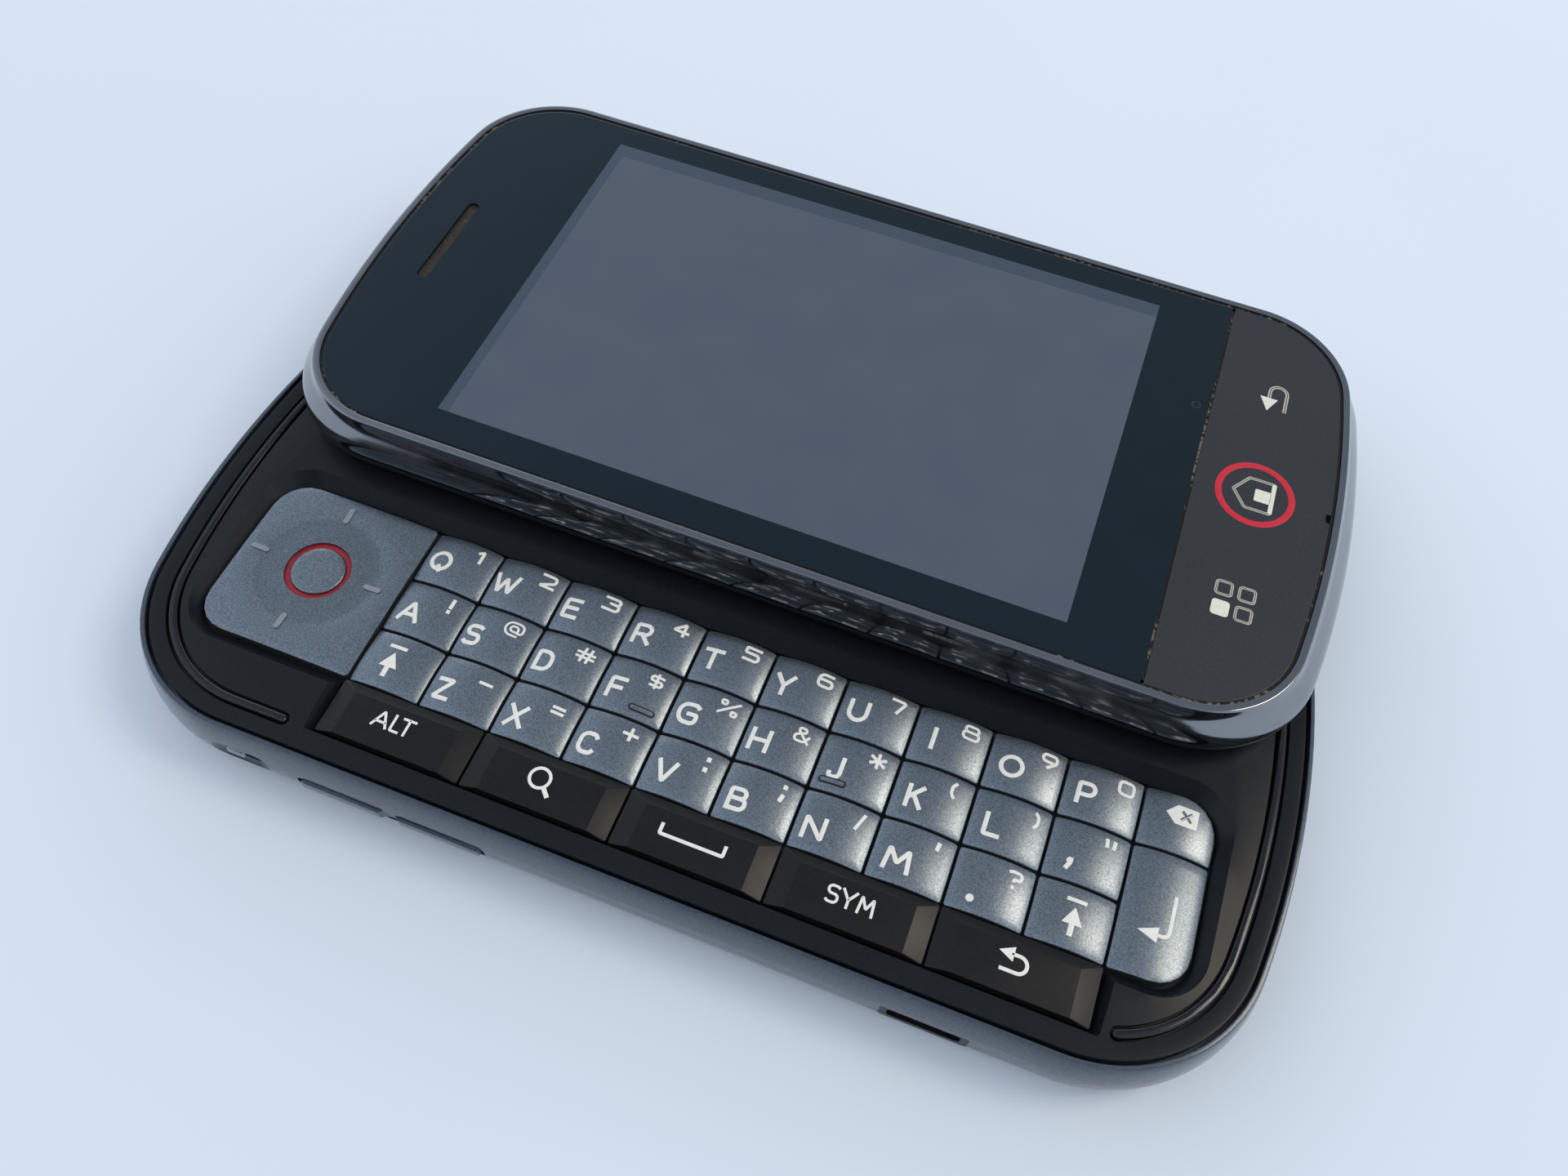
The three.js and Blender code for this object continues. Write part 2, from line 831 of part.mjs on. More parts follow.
function slideGuide() {
  const pieces = [
    block(
      -guideHalfLength,
      guideHalfLength,
      guideFront,
      guideBack,
      guidePlateTop - guidePlateThickness,
      guidePlateTop,
    ),
  ];
  for (const side of [-1, 1]) {
    const x = side * railCentreX;
    pieces.push(block(
      x - neckWidth / 2,
      x + neckWidth / 2,
      guideFront,
      guideBack,
      guidePlateTop - guidePlateThickness / 2,
      flangeBottom + flangeThickness / 2,
    ));
    pieces.push(block(
      x - flangeWidth / 2,
      x + flangeWidth / 2,
      guideFront,
      guideBack,
      flangeBottom,
      flangeBottom + flangeThickness,
    ));
  }
  return join(...pieces);
}

function slideCarriage() {
  const plate = block(
    -railCentreX - channelHalfWidth,
    railCentreX + channelHalfWidth,
    -channelHalfLength,
    channelHalfLength,
    channelRoof,
    channelRoof + carriageThickness,
  );
  const channels = [-1, 1].map((side) => block(
    side * railCentreX - channelHalfWidth,
    side * railCentreX + channelHalfWidth,
    -channelHalfLength,
    channelHalfLength,
    channelBottom,
    channelRoof + carriageThickness / 2,
  ));
  const cavities = [-1, 1].map((side) => block(
    side * railCentreX - flangeWidth / 2 - fitGap,
    side * railCentreX + flangeWidth / 2 + fitGap,
    -railCavityHalfLength,
    railCavityHalfLength,
    channelBottom + railLip,
    channelRoof,
  ));
  const slots = [-1, 1].map((side) => block(
    side * railCentreX - neckWidth / 2 - fitGap,
    side * railCentreX + neckWidth / 2 + fitGap,
    -railCavityHalfLength,
    railCavityHalfLength,
    channelBottom - overrun,
    channelBottom + railLip + overrun / 2,
  ));
  return cut(join(plate, ...channels), ...cavities, ...slots);
}

// The ring round the display: a bulging side, a flat lip on top and a straight inside.
function displayRing() {
  const widest = outlinePoints(displayOutline);
  const inner = outlinePoints(insetOutline(glassOutline, -fitGap));
  const lip = outlinePoints(insetOutline(glassOutline, -fitGap - lipWidth));
  const lipTop = outlinePoints(insetOutline(glassOutline, -fitGap - lipWidth + lipBevel));
  const levels = ringSideShares.map(([outShare, heightShare]) => ({
    points: lip.map((point, i) => point.clone().lerp(widest[i], outShare)),
    z: ringBottom + (closedThickness - ringBottom) * heightShare,
  }));
  levels.push({ points: lipTop, z: closedThickness });
  levels.push({ points: inner, z: closedThickness });
  levels.push({ points: inner, z: ringBottom });
  return ringSolid(levels);
}

function displayBack() {
  const tray = prism(outlinePoints(glassOutline), displayBottom, trayTop);
  const cavity = prism(
    outlinePoints(insetOutline(glassOutline, trayWall)),
    displayBottom + trayFloor,
    trayTop + overrun,
  );
  const railSlots = [-1, 1].map((side) => block(
    side * railCentreX - channelHalfWidth - fitGap,
    side * railCentreX + channelHalfWidth + fitGap,
    -channelHalfLength - fitGap,
    channelHalfLength + fitGap,
    displayBottom - overrun,
    displayBottom + trayFloor + overrun,
  ));
  return cut(tray, cavity, ...railSlots);
}

// The glass and the key strip share one outline, split by the seam.
function frontSheet(x0, x1) {
  const sheet = prism(outlinePoints(glassOutline), glassBottom, glassTop);
  const span = block(
    x0, x1, -bodyWidth / 2, bodyWidth / 2, glassBottom - overrun, glassTop + overrun,
  );
  return common(sheet, span);
}

function earSlotPoints() {
  const radii = Array(4).fill(earSlotWidth / 2 - fitGap / 2);
  return roundedRectangle(
    earSlotX - earSlotWidth / 2,
    earSlotX + earSlotWidth / 2,
    -earSlotLength / 2,
    earSlotLength / 2,
    radii,
    fieldCornerSteps,
  );
}

function frontGlass() {
  const slot = prism(earSlotPoints(), glassBottom - overrun, glassTop + overrun);
  return cut(frontSheet(-bodyLength / 2, seamX - seamGap / 2), slot);
}

function screenPanel() {
  return block(
    screenLeft - panelBorder,
    screenRight + panelBorder,
    screenFront - panelBorder,
    screenBack + panelBorder,
    trayTop - panelThickness,
    trayTop,
  );
}

function earpiece() {
  return block(
    earSlotX - earSlotWidth / 2 - earBorder,
    earSlotX + earSlotWidth / 2 + earBorder,
    -earSlotLength / 2 - earBorder,
    earSlotLength / 2 + earBorder,
    trayTop - earThickness,
    trayTop,
  );
}

// Connector shell with its tongue; the mouth faces the front.
function connectorPort() {
  const shell = block(
    portX - portWidth / 2,
    portX + portWidth / 2,
    portFrontY,
    portFrontY + portDepth,
    portBottom,
    portBottom + portHeight,
  );
  const mouth = block(
    portX - portMouthWidth / 2,
    portX + portMouthWidth / 2,
    portFrontY - overrun,
    portFrontY + portMouthDepth,
    portCentreZ - portMouthHeight / 2,
    portCentreZ + portMouthHeight / 2,
  );
  const tongue = block(
    portX - portTongueWidth / 2,
    portX + portTongueWidth / 2,
    portFrontY + portRecess,
    portFrontY + portDepth - portRecess / 2,
    portCentreZ - portTongueHeight / 2,
    portCentreZ + portTongueHeight / 2,
  );
  return join(cut(shell, mouth), tongue);
}

function headphoneSocket() {
  const outerX = jackRecess - bodyLength / 2;
  const barrel = lengthwiseCylinder(jackRadius, outerX, outerX + jackLength, jackY, beltHeight);
  const bore = lengthwiseCylinder(
    jackBoreRadius, outerX - overrun, outerX + jackBoreDepth, jackY, beltHeight,
  );
  return cut(barrel, bore);
}

function cameraModule() {
  const blockBottom = housingFloorTop + fitGap;
  const half = cameraBlock / 2;
  return join(
    block(
      cameraX - half, cameraX + half, cameraY - half, cameraY + half,
      blockBottom, blockBottom + cameraBlockHeight,
    ),
    uprightCylinder(lensRadius, lensRecess, blockBottom + cameraBlockHeight / 2, cameraX, cameraY),
  );
}

// Assembly
const phone = new THREE.Group();
const displayHalf = new THREE.Group();
displayHalf.position.y = slideTravel;
phone.add(displayHalf);

function addPart(group, name, geometry, finish) {
  const mesh = new THREE.Mesh(geometry, new THREE.MeshStandardMaterial(finish));
  mesh.name = name;
  group.add(mesh);
  return mesh;
}

addPart(phone, 'rear_housing', rearHousing(), finishes.housing);
addPart(phone, 'battery_cover', batteryCover(), finishes.cover);
addPart(phone, 'battery', battery(), finishes.battery);
addPart(phone, 'keypad_deck', keypadDeck(), finishes.deck);
addPart(phone, 'keypad_board', keypadBoard(), finishes.board);
addPart(phone, 'main_board', mainBoard(), finishes.board);
addPart(phone, 'slide_guide', slideGuide(), finishes.steel);
addPart(phone, 'usb_port', connectorPort(), finishes.steel);
addPart(phone, 'headphone_jack', headphoneSocket(), finishes.black);
addPart(phone, 'camera_module', cameraModule(), finishes.black);

const volumeRocker = addPart(phone, 'volume_rocker', volumeRockerShape(), finishes.barKey);
placeOnSide(volumeRocker, volumeKey);
const cameraButton = addPart(phone, 'camera_key', sideKeyShape(cameraKey, 0), finishes.barKey);
placeOnSide(cameraButton, cameraKey);
const powerButton = addPart(phone, 'power_key', sideKeyShape(powerKey, 0), finishes.barKey);
placeOnSide(powerButton, powerKey);

// The ringer switch's nub stands at one end of its slot and slides to the other.
const ringerKey = {
  ...ringerNub,
  x: ringerSlotX - ringerTravel / 2,
  length: ringerSlotLength - ringerTravel - 2 * fitGap,
};
const ringerSwitch = addPart(phone, 'ringer_switch', sideKeyShape(ringerKey, 0), finishes.steel);
placeOnSide(ringerSwitch, ringerKey);

// Three rows of letter keys in the ten columns
const letterRows = ['qwertyuiop', 'asdfghjkl', 'zxcvbnm'];
const smallRadii = Array(4).fill(keyCornerRadius);
const rowNames = [
  [...letterRows[0]],
  [...letterRows[1], 'comma'],
  ['shift_left', ...letterRows[2], 'period', 'shift_right'],
];
rowNames.forEach((names, row) => {
  const y1 = fieldBack - row * rowPitch;
  names.forEach((name, column) => {
    const x0 = firstColumnX + column * columnPitch;
    const cap = letterCap(x0, x0 + columnPitch, y1 - rowPitch, y1, smallRadii);
    addPart(phone, `key_${name}`, cap, finishes.letterKey);
  });
});

// The end column: the delete key, and a return key two rows deep
const deleteRadii = [fieldCornerRadius, keyCornerRadius, keyCornerRadius, keyCornerRadius];
const deleteCap = letterCap(lastColumnX, fieldRight, fieldBack - rowPitch, fieldBack, deleteRadii);
addPart(phone, 'key_delete', deleteCap, finishes.letterKey);
const returnRadii = [keyCornerRadius, keyCornerRadius, keyCornerRadius, fieldCornerRadius];
const returnCap = letterCap(lastColumnX, fieldRight, barKeyBack, fieldBack - rowPitch, returnRadii);
addPart(phone, 'key_return', returnCap, finishes.letterKey);

// The front row: five black bar keys, two columns wide each
const barNames = ['alt', 'search', 'space', 'symbol', 'back'];
barNames.forEach((name, index) => {
  const width = barKeyColumns * columnPitch;
  const x0 = firstColumnX + index * width;
  addPart(phone, `key_${name}`, barCap(x0, x0 + width, fieldFront, barKeyBack), finishes.barKey);
});

addPart(phone, 'direction_pad', directionPad(), finishes.letterKey);
const selectButton = uprightCylinder(padButtonRadius, keyBottom, padTop, padCentreX, padCentreY);
addPart(phone, 'select_button', selectButton, finishes.letterKey);

addPart(displayHalf, 'slide_carriage', slideCarriage(), finishes.steel);
addPart(displayHalf, 'display_back', displayBack(), finishes.cover);
addPart(displayHalf, 'display_ring', displayRing(), finishes.ring);
addPart(displayHalf, 'lcd_panel', screenPanel(), finishes.panel);
addPart(displayHalf, 'earpiece', earpiece(), finishes.black);
addPart(displayHalf, 'front_glass', frontGlass(), finishes.glass);
addPart(displayHalf, 'key_strip', frontSheet(seamX + seamGap / 2, bodyLength / 2), finishes.strip);

export default phone;
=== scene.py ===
# %% [markdown]
# # A side-sliding phone with a keyboard
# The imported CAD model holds 60 plain solids that already fit and move. This file dresses them:
# each visible solid is either kept and given a finish, or replaced by a smoother piece that
# stands in the same place and rides on the same moving body. All lengths below are in
# millimetres, as on a drawing, and are turned to Blender's metres where a mesh is made.

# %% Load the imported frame
import math

import bmesh
import bpy
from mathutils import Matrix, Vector


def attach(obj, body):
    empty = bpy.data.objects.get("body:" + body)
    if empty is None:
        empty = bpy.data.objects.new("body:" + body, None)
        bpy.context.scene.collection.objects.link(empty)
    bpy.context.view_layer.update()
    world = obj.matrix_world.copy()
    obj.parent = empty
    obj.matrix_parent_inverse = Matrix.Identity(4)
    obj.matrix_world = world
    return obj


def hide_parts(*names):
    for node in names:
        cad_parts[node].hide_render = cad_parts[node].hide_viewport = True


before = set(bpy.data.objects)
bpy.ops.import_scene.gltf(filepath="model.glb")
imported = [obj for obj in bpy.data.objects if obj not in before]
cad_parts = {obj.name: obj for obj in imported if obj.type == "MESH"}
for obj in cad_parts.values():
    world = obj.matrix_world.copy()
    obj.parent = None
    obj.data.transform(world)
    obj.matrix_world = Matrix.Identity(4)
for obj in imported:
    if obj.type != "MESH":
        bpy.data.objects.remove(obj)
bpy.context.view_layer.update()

# %% [markdown]
# ## Outlines
# The two halves of the phone have the same kind of outline: long straight sides, ends that
# bulge a little, and round corners. It could be drawn as a Bezier curve, but an arc for the end
# and an arc for the corner meet exactly where the CAD's do, so points on two arcs are used. The
# keys and windows are rectangles with a radius for each corner.

# %% Outline points
MM = 0.001
END_STEPS = 7
CORNER_STEPS = 20
BASE = (57, 29, 95, 16)
DISPLAY = (55.4, 27.6, 115, 12.7)
GLASS = (51.8, 25.3, 129, 9.7)
DISPLAY_Y = 29.5


def phone_outline(shape, inset=0, y=0):
    """Points round a half of the phone, anticlockwise from the middle of its right end."""
    half_length, half_width, end_radius, corner_radius = (size - inset for size in shape)
    end_centre = half_length - end_radius
    corner_y = half_width - corner_radius
    reach = math.sqrt((end_radius - corner_radius) ** 2 - corner_y**2)
    end_angle = math.atan2(corner_y, reach)
    quarter = []
    for i in range(END_STEPS + 1):
        angle = end_angle * i / END_STEPS
        quarter.append((end_centre + end_radius * math.cos(angle), end_radius * math.sin(angle)))
    for i in range(1, CORNER_STEPS + 1):
        angle = end_angle + (math.pi / 2 - end_angle) * i / CORNER_STEPS
        px = end_centre + reach + corner_radius * math.cos(angle)
        quarter.append((px, corner_y + corner_radius * math.sin(angle)))
    back = quarter[::-1]
    points = quarter + [(-px, py) for px, py in back]
    points += [(-px, -py) for px, py in quarter[1:]] + [(px, -py) for px, py in back[:-1]]
    return [(px, py + y) for px, py in points]


def rounded_box(x0, x1, y0, y1, radii, steps=6):
    """Points of a rectangle with a radius for each corner, from the far right anticlockwise."""
    if not hasattr(radii, "__len__"):
        radii = [radii] * 4
    corners = [(x1, y1, -1, -1), (x0, y1, 1, -1), (x0, y0, 1, 1), (x1, y0, -1, 1)]
    points = []
    for index, (cx, cy, sx, sy) in enumerate(corners):
        for i in range(steps + 1):
            angle = math.pi / 2 * (index + i / steps)
            r = radii[index]
            points.append((cx + r * (sx + math.cos(angle)), cy + r * (sy + math.sin(angle))))
    return points


def circle(radius, x=0, y=0, steps=48):
    """Points of a circle."""
    turns = [2 * math.pi * i / steps for i in range(steps)]
    return [(x + radius * math.cos(t), y + radius * math.sin(t)) for t in turns]


print("an outline has", len(phone_outline(BASE)), "points")

# %% [markdown]
# ## Stacking outlines into a solid
# Housings, rings, caps and plates are all outlines that change with height. Each one starts as a
# circle primitive with as many points as its outline. The loop is filled and extruded from level
# to level, and after each extrusion its points are placed on the next outline. A ring is not
# filled: its last loop is bridged to its first. Nothing has to be cut out afterwards, so the
# sides stay clean bands of four-sided faces.

# %% The stacking helper
SAME_POINT = 1e-4


def select_only(*pieces):
    """Leaves edit mode and selects these objects alone."""
    if bpy.context.object and bpy.context.object.mode != "OBJECT":
        bpy.ops.object.mode_set(mode="OBJECT")
    bpy.ops.object.select_all(action="DESELECT")
    for piece in pieces:
        piece.select_set(True)
        bpy.context.view_layer.objects.active = piece


def edit_all(piece):
    """Opens a piece in edit mode with everything selected."""
    select_only(piece)
    bpy.ops.object.mode_set(mode="EDIT")
    bpy.ops.mesh.select_all(action="SELECT")


def weld(piece, distance):
    """Merges points of a piece that are nearer to each other than a distance in mm."""
    edit_all(piece)
    bpy.ops.mesh.remove_doubles(threshold=distance * MM)
    bpy.ops.object.mode_set(mode="OBJECT")


def stack(name, levels, ring=False):
    """A solid through (outline, height) levels, bottom first; a ring's last meets its first."""
    select_only()
    count = len(levels[0][0])
    bpy.ops.mesh.primitive_circle_add(vertices=count, radius=MM)
    piece = bpy.context.object
    piece.name = piece.data.name = name
    bpy.ops.object.mode_set(mode="EDIT")
    if not ring:
        bpy.ops.mesh.edge_face_add()
    rank = {}
    for number, (points, height) in enumerate(levels):
        if number:
            bpy.ops.mesh.extrude_region_move()
        mesh = bmesh.from_edit_mesh(piece.data)
        mesh.verts.index_update()
        chosen = [v for v in mesh.verts if v.select]
        places = {}
        for i, v in enumerate(chosen):
            below = [e.other_vert(v).index for e in v.link_edges if not e.other_vert(v).select]
            places[v.index] = rank[below[0]] if number else i
        for v in chosen:
            px, py = points[places[v.index]]
            v.co = (px * MM, py * MM, height * MM)
        rank.update(places)
        bmesh.update_edit_mesh(piece.data)
    if ring:
        bpy.ops.mesh.select_all(action="DESELECT")
        bpy.ops.mesh.select_non_manifold()
        bpy.ops.mesh.bridge_edge_loops()
    bpy.ops.mesh.select_all(action="SELECT")
    bpy.ops.mesh.remove_doubles(threshold=SAME_POINT * MM)
    bpy.ops.mesh.normals_make_consistent(inside=False)
    bpy.ops.object.mode_set(mode="OBJECT")
    return piece


# %% [markdown]
# ## Cutting, turning and settling
# Windows and grooves are cut with a Boolean modifier that is applied at once. A piece for the
# front or far side is stacked lying down and then turned up. At the end every piece is shaded
# smooth except at its real edges, given its finish, and tied to the body it moves with.

# %% Cutting, turning and settling helpers
SMOOTH_ANGLE = 32


def cut_with(piece, cutter, operation="DIFFERENCE"):
    """Applies a Boolean with the cutter, which is used up, and merges points left in one place."""
    modifier = piece.modifiers.new("cut", "BOOLEAN")
    modifier.operation, modifier.object, modifier.solver = operation, cutter, "EXACT"
    select_only(piece)
    bpy.ops.object.modifier_apply(modifier=modifier.name)
    bpy.data.objects.remove(cutter)
    weld(piece, 10 * SAME_POINT)


def turned(piece, axis, angle, place):
    """Turns a piece's mesh about an axis through the origin, then moves it to a place."""
    edit_all(piece)
    bpy.ops.transform.rotate(value=angle, orient_axis=axis, center_override=(0, 0, 0))
    bpy.ops.transform.translate(value=[v * MM for v in place])
    bpy.ops.object.mode_set(mode="OBJECT")
    return piece


def to_side(piece, x, z, side):
    """Turns a piece stacked along +Z to face out of a long side, and moves it to its place."""
    return turned(piece, "X", math.pi / 2 * side, (x, side * BASE[1], z))


def join(*pieces):
    """Joins objects into the first one, which keeps its name and the others' materials."""
    select_only(*pieces[::-1])
    bpy.ops.object.join()
    return pieces[0]


def settle(piece, body, material, replaces=(), angle=SMOOTH_ANGLE):
    """Smooths a piece, paints it if it has no paint, ties it to its body and hides the CAD nodes it
    replaces.
    """
    select_only(piece)
    bpy.ops.object.shade_smooth_by_angle(angle=math.radians(angle))
    if material and not piece.data.materials:
        piece.data.materials.append(material)
    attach(piece, body)
    if replaces:
        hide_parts(*replaces)
    print(f"{piece.name}: {len(piece.data.polygons)} faces, rides on {body}")


# %% [markdown]
# ## Writing a finish
# Each finish is a small network on Object coordinates. Those are metres here, so a pattern of a
# real size in millimetres has a scale of 1000 divided by it. Most surfaces of the phone are a
# moulded or sprayed plastic: two close tones mixed by a fine noise, a roughness that varies with a
# broader one, and a slight bump from the grain. Small functions add the nodes that all of these
# networks share: a noise, a remapped range, a mix of two tones and a bump.

# %% Finish helpers


def linear(colour):
    """An sRGB hex colour as the linear numbers that a shader takes."""
    parts = [int(colour[i : i + 2], 16) / 255 for i in (1, 3, 5)]
    return [p / 12.92 if p <= 0.04045 else ((p + 0.055) / 1.055) ** 2.4 for p in parts] + [1]


def feed(tree, node, links):
    """Links other nodes' outputs into a node's sockets."""
    for key, output in links.items():
        tree.links.new(output, node.inputs[key])


def add(tree, kind, settings=None, links=None):
    """Adds a node, sets its properties or sockets, and links other nodes' outputs into it."""
    made = tree.nodes.new(kind)
    for key, value in (settings or {}).items():
        if isinstance(key, str) and hasattr(made, key):
            setattr(made, key, value)
        else:
            made.inputs[key].default_value = value
    feed(tree, made, links or {})
    return made


def blank(name):
    """A new material, its node tree, its shader and its Object coordinates."""
    material = bpy.data.materials.new(name)
    material.use_nodes = True
    tree = material.node_tree
    place = add(tree, "ShaderNodeTexCoord").outputs["Object"]
    return material, tree, tree.nodes["Principled BSDF"], place


def noise(tree, place, size, detail):
    """A noise whose broadest spots have about a size in mm."""
    settings = {"Scale": 1000 / size, "Detail": detail}
    return add(tree, "ShaderNodeTexNoise", settings, {"Vector": place}).outputs["Fac"]


def remap(tree, value, low, high, to=(0, 1)):
    """A value's range from low to high, stretched to another range and clamped."""
    settings = {"From Min": low, "From Max": high, "To Min": to[0], "To Max": to[1]}
    return add(tree, "ShaderNodeMapRange", settings, {"Value": value}).outputs["Result"]


def mix(tree, factor, tones):
    """A colour between two tones."""
    settings = {"data_type": "RGBA", 6: linear(tones[0]), 7: linear(tones[1])}
    return add(tree, "ShaderNodeMix", settings, {0: factor}).outputs[2]


def relief(tree, height, strength, depth):
    """The normal of a bump with a depth in mm."""
    settings = {"Strength": strength, "Distance": depth * MM}
    return add(tree, "ShaderNodeBump", settings, {"Height": height}).outputs["Normal"]


def grained(name, tones, grain, roughness, bump=0.1, patch=9, depth=0.02, share=0.5, **shader):
    """A moulded or sprayed surface: two tones, a grain in mm, a roughness range and a bump."""
    material, tree, surface, place = blank(name)
    fine, broad = noise(tree, place, grain, 3), noise(tree, place, patch, 4)
    spread = remap(tree, fine, 0.5 - 0.5 * share, 0.5 + 0.5 * share)
    links = {"Base Color": mix(tree, spread, tones), "Normal": relief(tree, fine, bump, depth)}
    links["Roughness"] = remap(tree, broad, 0.3, 0.7, roughness)
    feed(tree, surface, links)
    for key, value in shader.items():
        surface.inputs[key.replace("_", " ")].default_value = value
    return material


# %% [markdown]
# ## Rear housing
# The tub is injection-moulded ABS sprayed with a dark blue-grey metallic paint. The metal flakes
# are about 0.1 mm, drawn at 0.25 mm so that they show. Its side is a quarter ellipse up to the
# belt and then leans in to a thin rim round the keyboard deck. One stack makes it all: up the
# outside, over the rim, down the inside to the floor. The battery bay is added and the windows are
# cut after that.

# %% Housing finish and shell
housing_paint = grained(
    "metallic_paint_on_abs", ("#2c3746", "#404d5d"), grain=0.25, roughness=(0.3, 0.4),
    patch=14, Metallic=0.45, Coat_Weight=0.7, Coat_Roughness=0.1,
)

BACK_INSET, RIM_INSET, RIM_WIDTH, WALL = 3.4, 0.7, 0.45, 2
BELT, BASE_TOP, LEDGE, FLOOR = 4.5, 8.6, 6.7, 2.0
BELOW_BELT, ABOVE_BELT = 10, 5


def phone_levels(shape, edge, y=0):
    """Levels for a stack from the (inset, height) points of an edge."""
    return [(phone_outline(shape, inset, y), height) for inset, height in edge]


side = []
for i in range(BELOW_BELT + 1):
    angle = math.pi / 2 * (1 - i / BELOW_BELT)
    side.append((BACK_INSET * (1 - math.cos(angle)), BELT * (1 - math.sin(angle))))
for i in range(1, ABOVE_BELT + 1):
    share = i / ABOVE_BELT
    side.append((RIM_INSET * share**2, BELT + (BASE_TOP - 0.12 - BELT) * share))
rim_inner = RIM_INSET + RIM_WIDTH
side += [(RIM_INSET + 0.06, BASE_TOP - 0.03), (RIM_INSET + 0.14, BASE_TOP)]
side += [(rim_inner - 0.06, BASE_TOP), (rim_inner, BASE_TOP - 0.06)]
side += [(rim_inner, LEDGE), (WALL, LEDGE), (WALL, FLOOR)]
housing = stack("housing_shell", phone_levels(BASE, side))
print("housing shell faces:", len(housing.data.polygons))

# %% [markdown]
# The windows in the sides follow the CAD: long slots for the volume rocker, the camera key and the
# power key, shallow scoops round the ringer switch and the connector, a round hole for the
# headphone socket.

# %% Places of the windows
COVER_RECESS, COVER_MARGIN = 1.2, 4.2
BAY = (-36.3, 18.3, -19.3, 17.3)
BAY_ROOF, BAY_WALL = 5.4, 0.8
SIDE_KEYS = {
    "volume": dict(x=-22.45, z=4.15, side=-1, length=18.5, height=1.4, proud=0.22, gap=0.35),
    "camera": dict(x=33, z=4.4, side=1, length=8.5, height=1.9, proud=0.5, gap=0.3),
    "power": dict(x=-32, z=4.4, side=1, length=7, height=1.7, proud=0.4, gap=0.3),
}
RINGER = dict(x=-38.1, z=4.5, window=(3.9, 1.7), mouth=(6.4, 3), depth=0.5)
PORT = dict(x=29, z=3.5, window=(8.1, 3), mouth=(12.4, 4.5), depth=0.3)
LENS = (-45, 14, 3.6)
JACK = (5, 4.5, 2.3)
print("side keys:", list(SIDE_KEYS))

# %% [markdown]
# Each cutter is a stack of rounded rectangles, so each window has round corners. The block that
# holds the battery bay is added first, and everything else is cut out.

# %% Cut the housing's windows
WINDOW_RADIUS, MOUTH_RADIUS, SCOOP_BREAK = 0.6, 1.4, 0.62
INSIDE, OUTSIDE, CLEAR = -3, 1, 0.3


def plate(name, outline, low, high):
    """A solid with straight sides between two heights."""
    return stack(name, [(outline, low), (outline, high)])


def drill(piece, outline, low, high):
    """Cuts an outline's shape out of a piece between two heights."""
    cut_with(piece, plate("cutter", outline, low, high))


def grown(box, by):
    """A rectangle's lines moved outwards."""
    return (box[0] - by, box[1] + by, box[2] - by, box[3] + by)


def centred(length, height, radius):
    """A rounded rectangle about the origin."""
    return rounded_box(-length / 2, length / 2, -height / 2, height / 2, radius)


def scoop(place):
    """A cutter that narrows from its mouth at the side's face to a window through the wall."""
    window = centred(*place["window"], WINDOW_RADIUS)
    mouth = centred(*place["mouth"], MOUTH_RADIUS)
    middle = [((a + c) / 2, (b + d) / 2) for (a, b), (c, d) in zip(window, mouth)]
    depth = place["depth"]
    levels = [(window, INSIDE), (window, -depth), (middle, -depth * SCOOP_BREAK)]
    cutter = stack("cutter", levels + [(mouth, 0), (mouth, OUTSIDE)])
    return to_side(cutter, place["x"], place["z"], -1)


bay_walls = rounded_box(*grown(BAY, BAY_WALL), 0.3)
bay_block = plate("cutter", bay_walls, COVER_RECESS, BAY_ROOF + 0.5)
cut_with(housing, bay_block, "UNION")
drill(housing, phone_outline(BASE, COVER_MARGIN), -1, COVER_RECESS)
drill(housing, rounded_box(*BAY, 0.3), 0, BAY_ROOF)
drill(housing, circle(LENS[2] + CLEAR, LENS[0], LENS[1]), 0, FLOOR + 1)
for key in SIDE_KEYS.values():
    window = centred(key["length"] + 2 * key["gap"], key["height"] + 2 * CLEAR, 0.7)
    cutter = plate("cutter", window, INSIDE, OUTSIDE)
    cut_with(housing, to_side(cutter, key["x"], key["z"], key["side"]))
cut_with(housing, scoop(RINGER))
cut_with(housing, scoop(PORT))
cutter = plate("cutter", circle(JACK[2] + CLEAR), INSIDE, OUTSIDE)
cut_with(housing, turned(cutter, "Y", math.pi / 2, (-BASE[0], *JACK[:2])))
settle(housing, "base", housing_paint, ["rear_housing"])

# %% [markdown]
# ## Side controls
# The volume rocker is painted like the housing, the camera key and the power key are glossy
# black, and the ringer switch is a small plated nub. Each has a flange inside the wall that holds
# it in, so a stack of a wide foot and a narrower bar with a rounded face makes it. The rocker's
# face dips in the middle, where the thumb finds its two halves. A glossy black frame, flush with
# the bottom of its shallow scoop, surrounds the connector; its black is painted shade, which
# stands for the dark inside of the connector's opening.

# %% Side controls
gloss_black = grained(
    "glossy_black_polycarbonate", ("#131316", "#19191c"), grain=0.5, roughness=(0.28, 0.36),
    bump=0.04, patch=6, Specular_IOR_Level=0.28,
)
plated = grained(
    "satin_nickel_plating", ("#8d9198", "#a8acb2"), grain=0.3, roughness=(0.22, 0.34),
    bump=0.05, Metallic=1,
)
FLANGE, FLANGE_LIP = 0.6, 0.5
DIP_RADIUS, DIP_DEPTH = 1.4, 0.45
FRAME_BOTTOM, FRAME_TOP = -0.85, -0.34


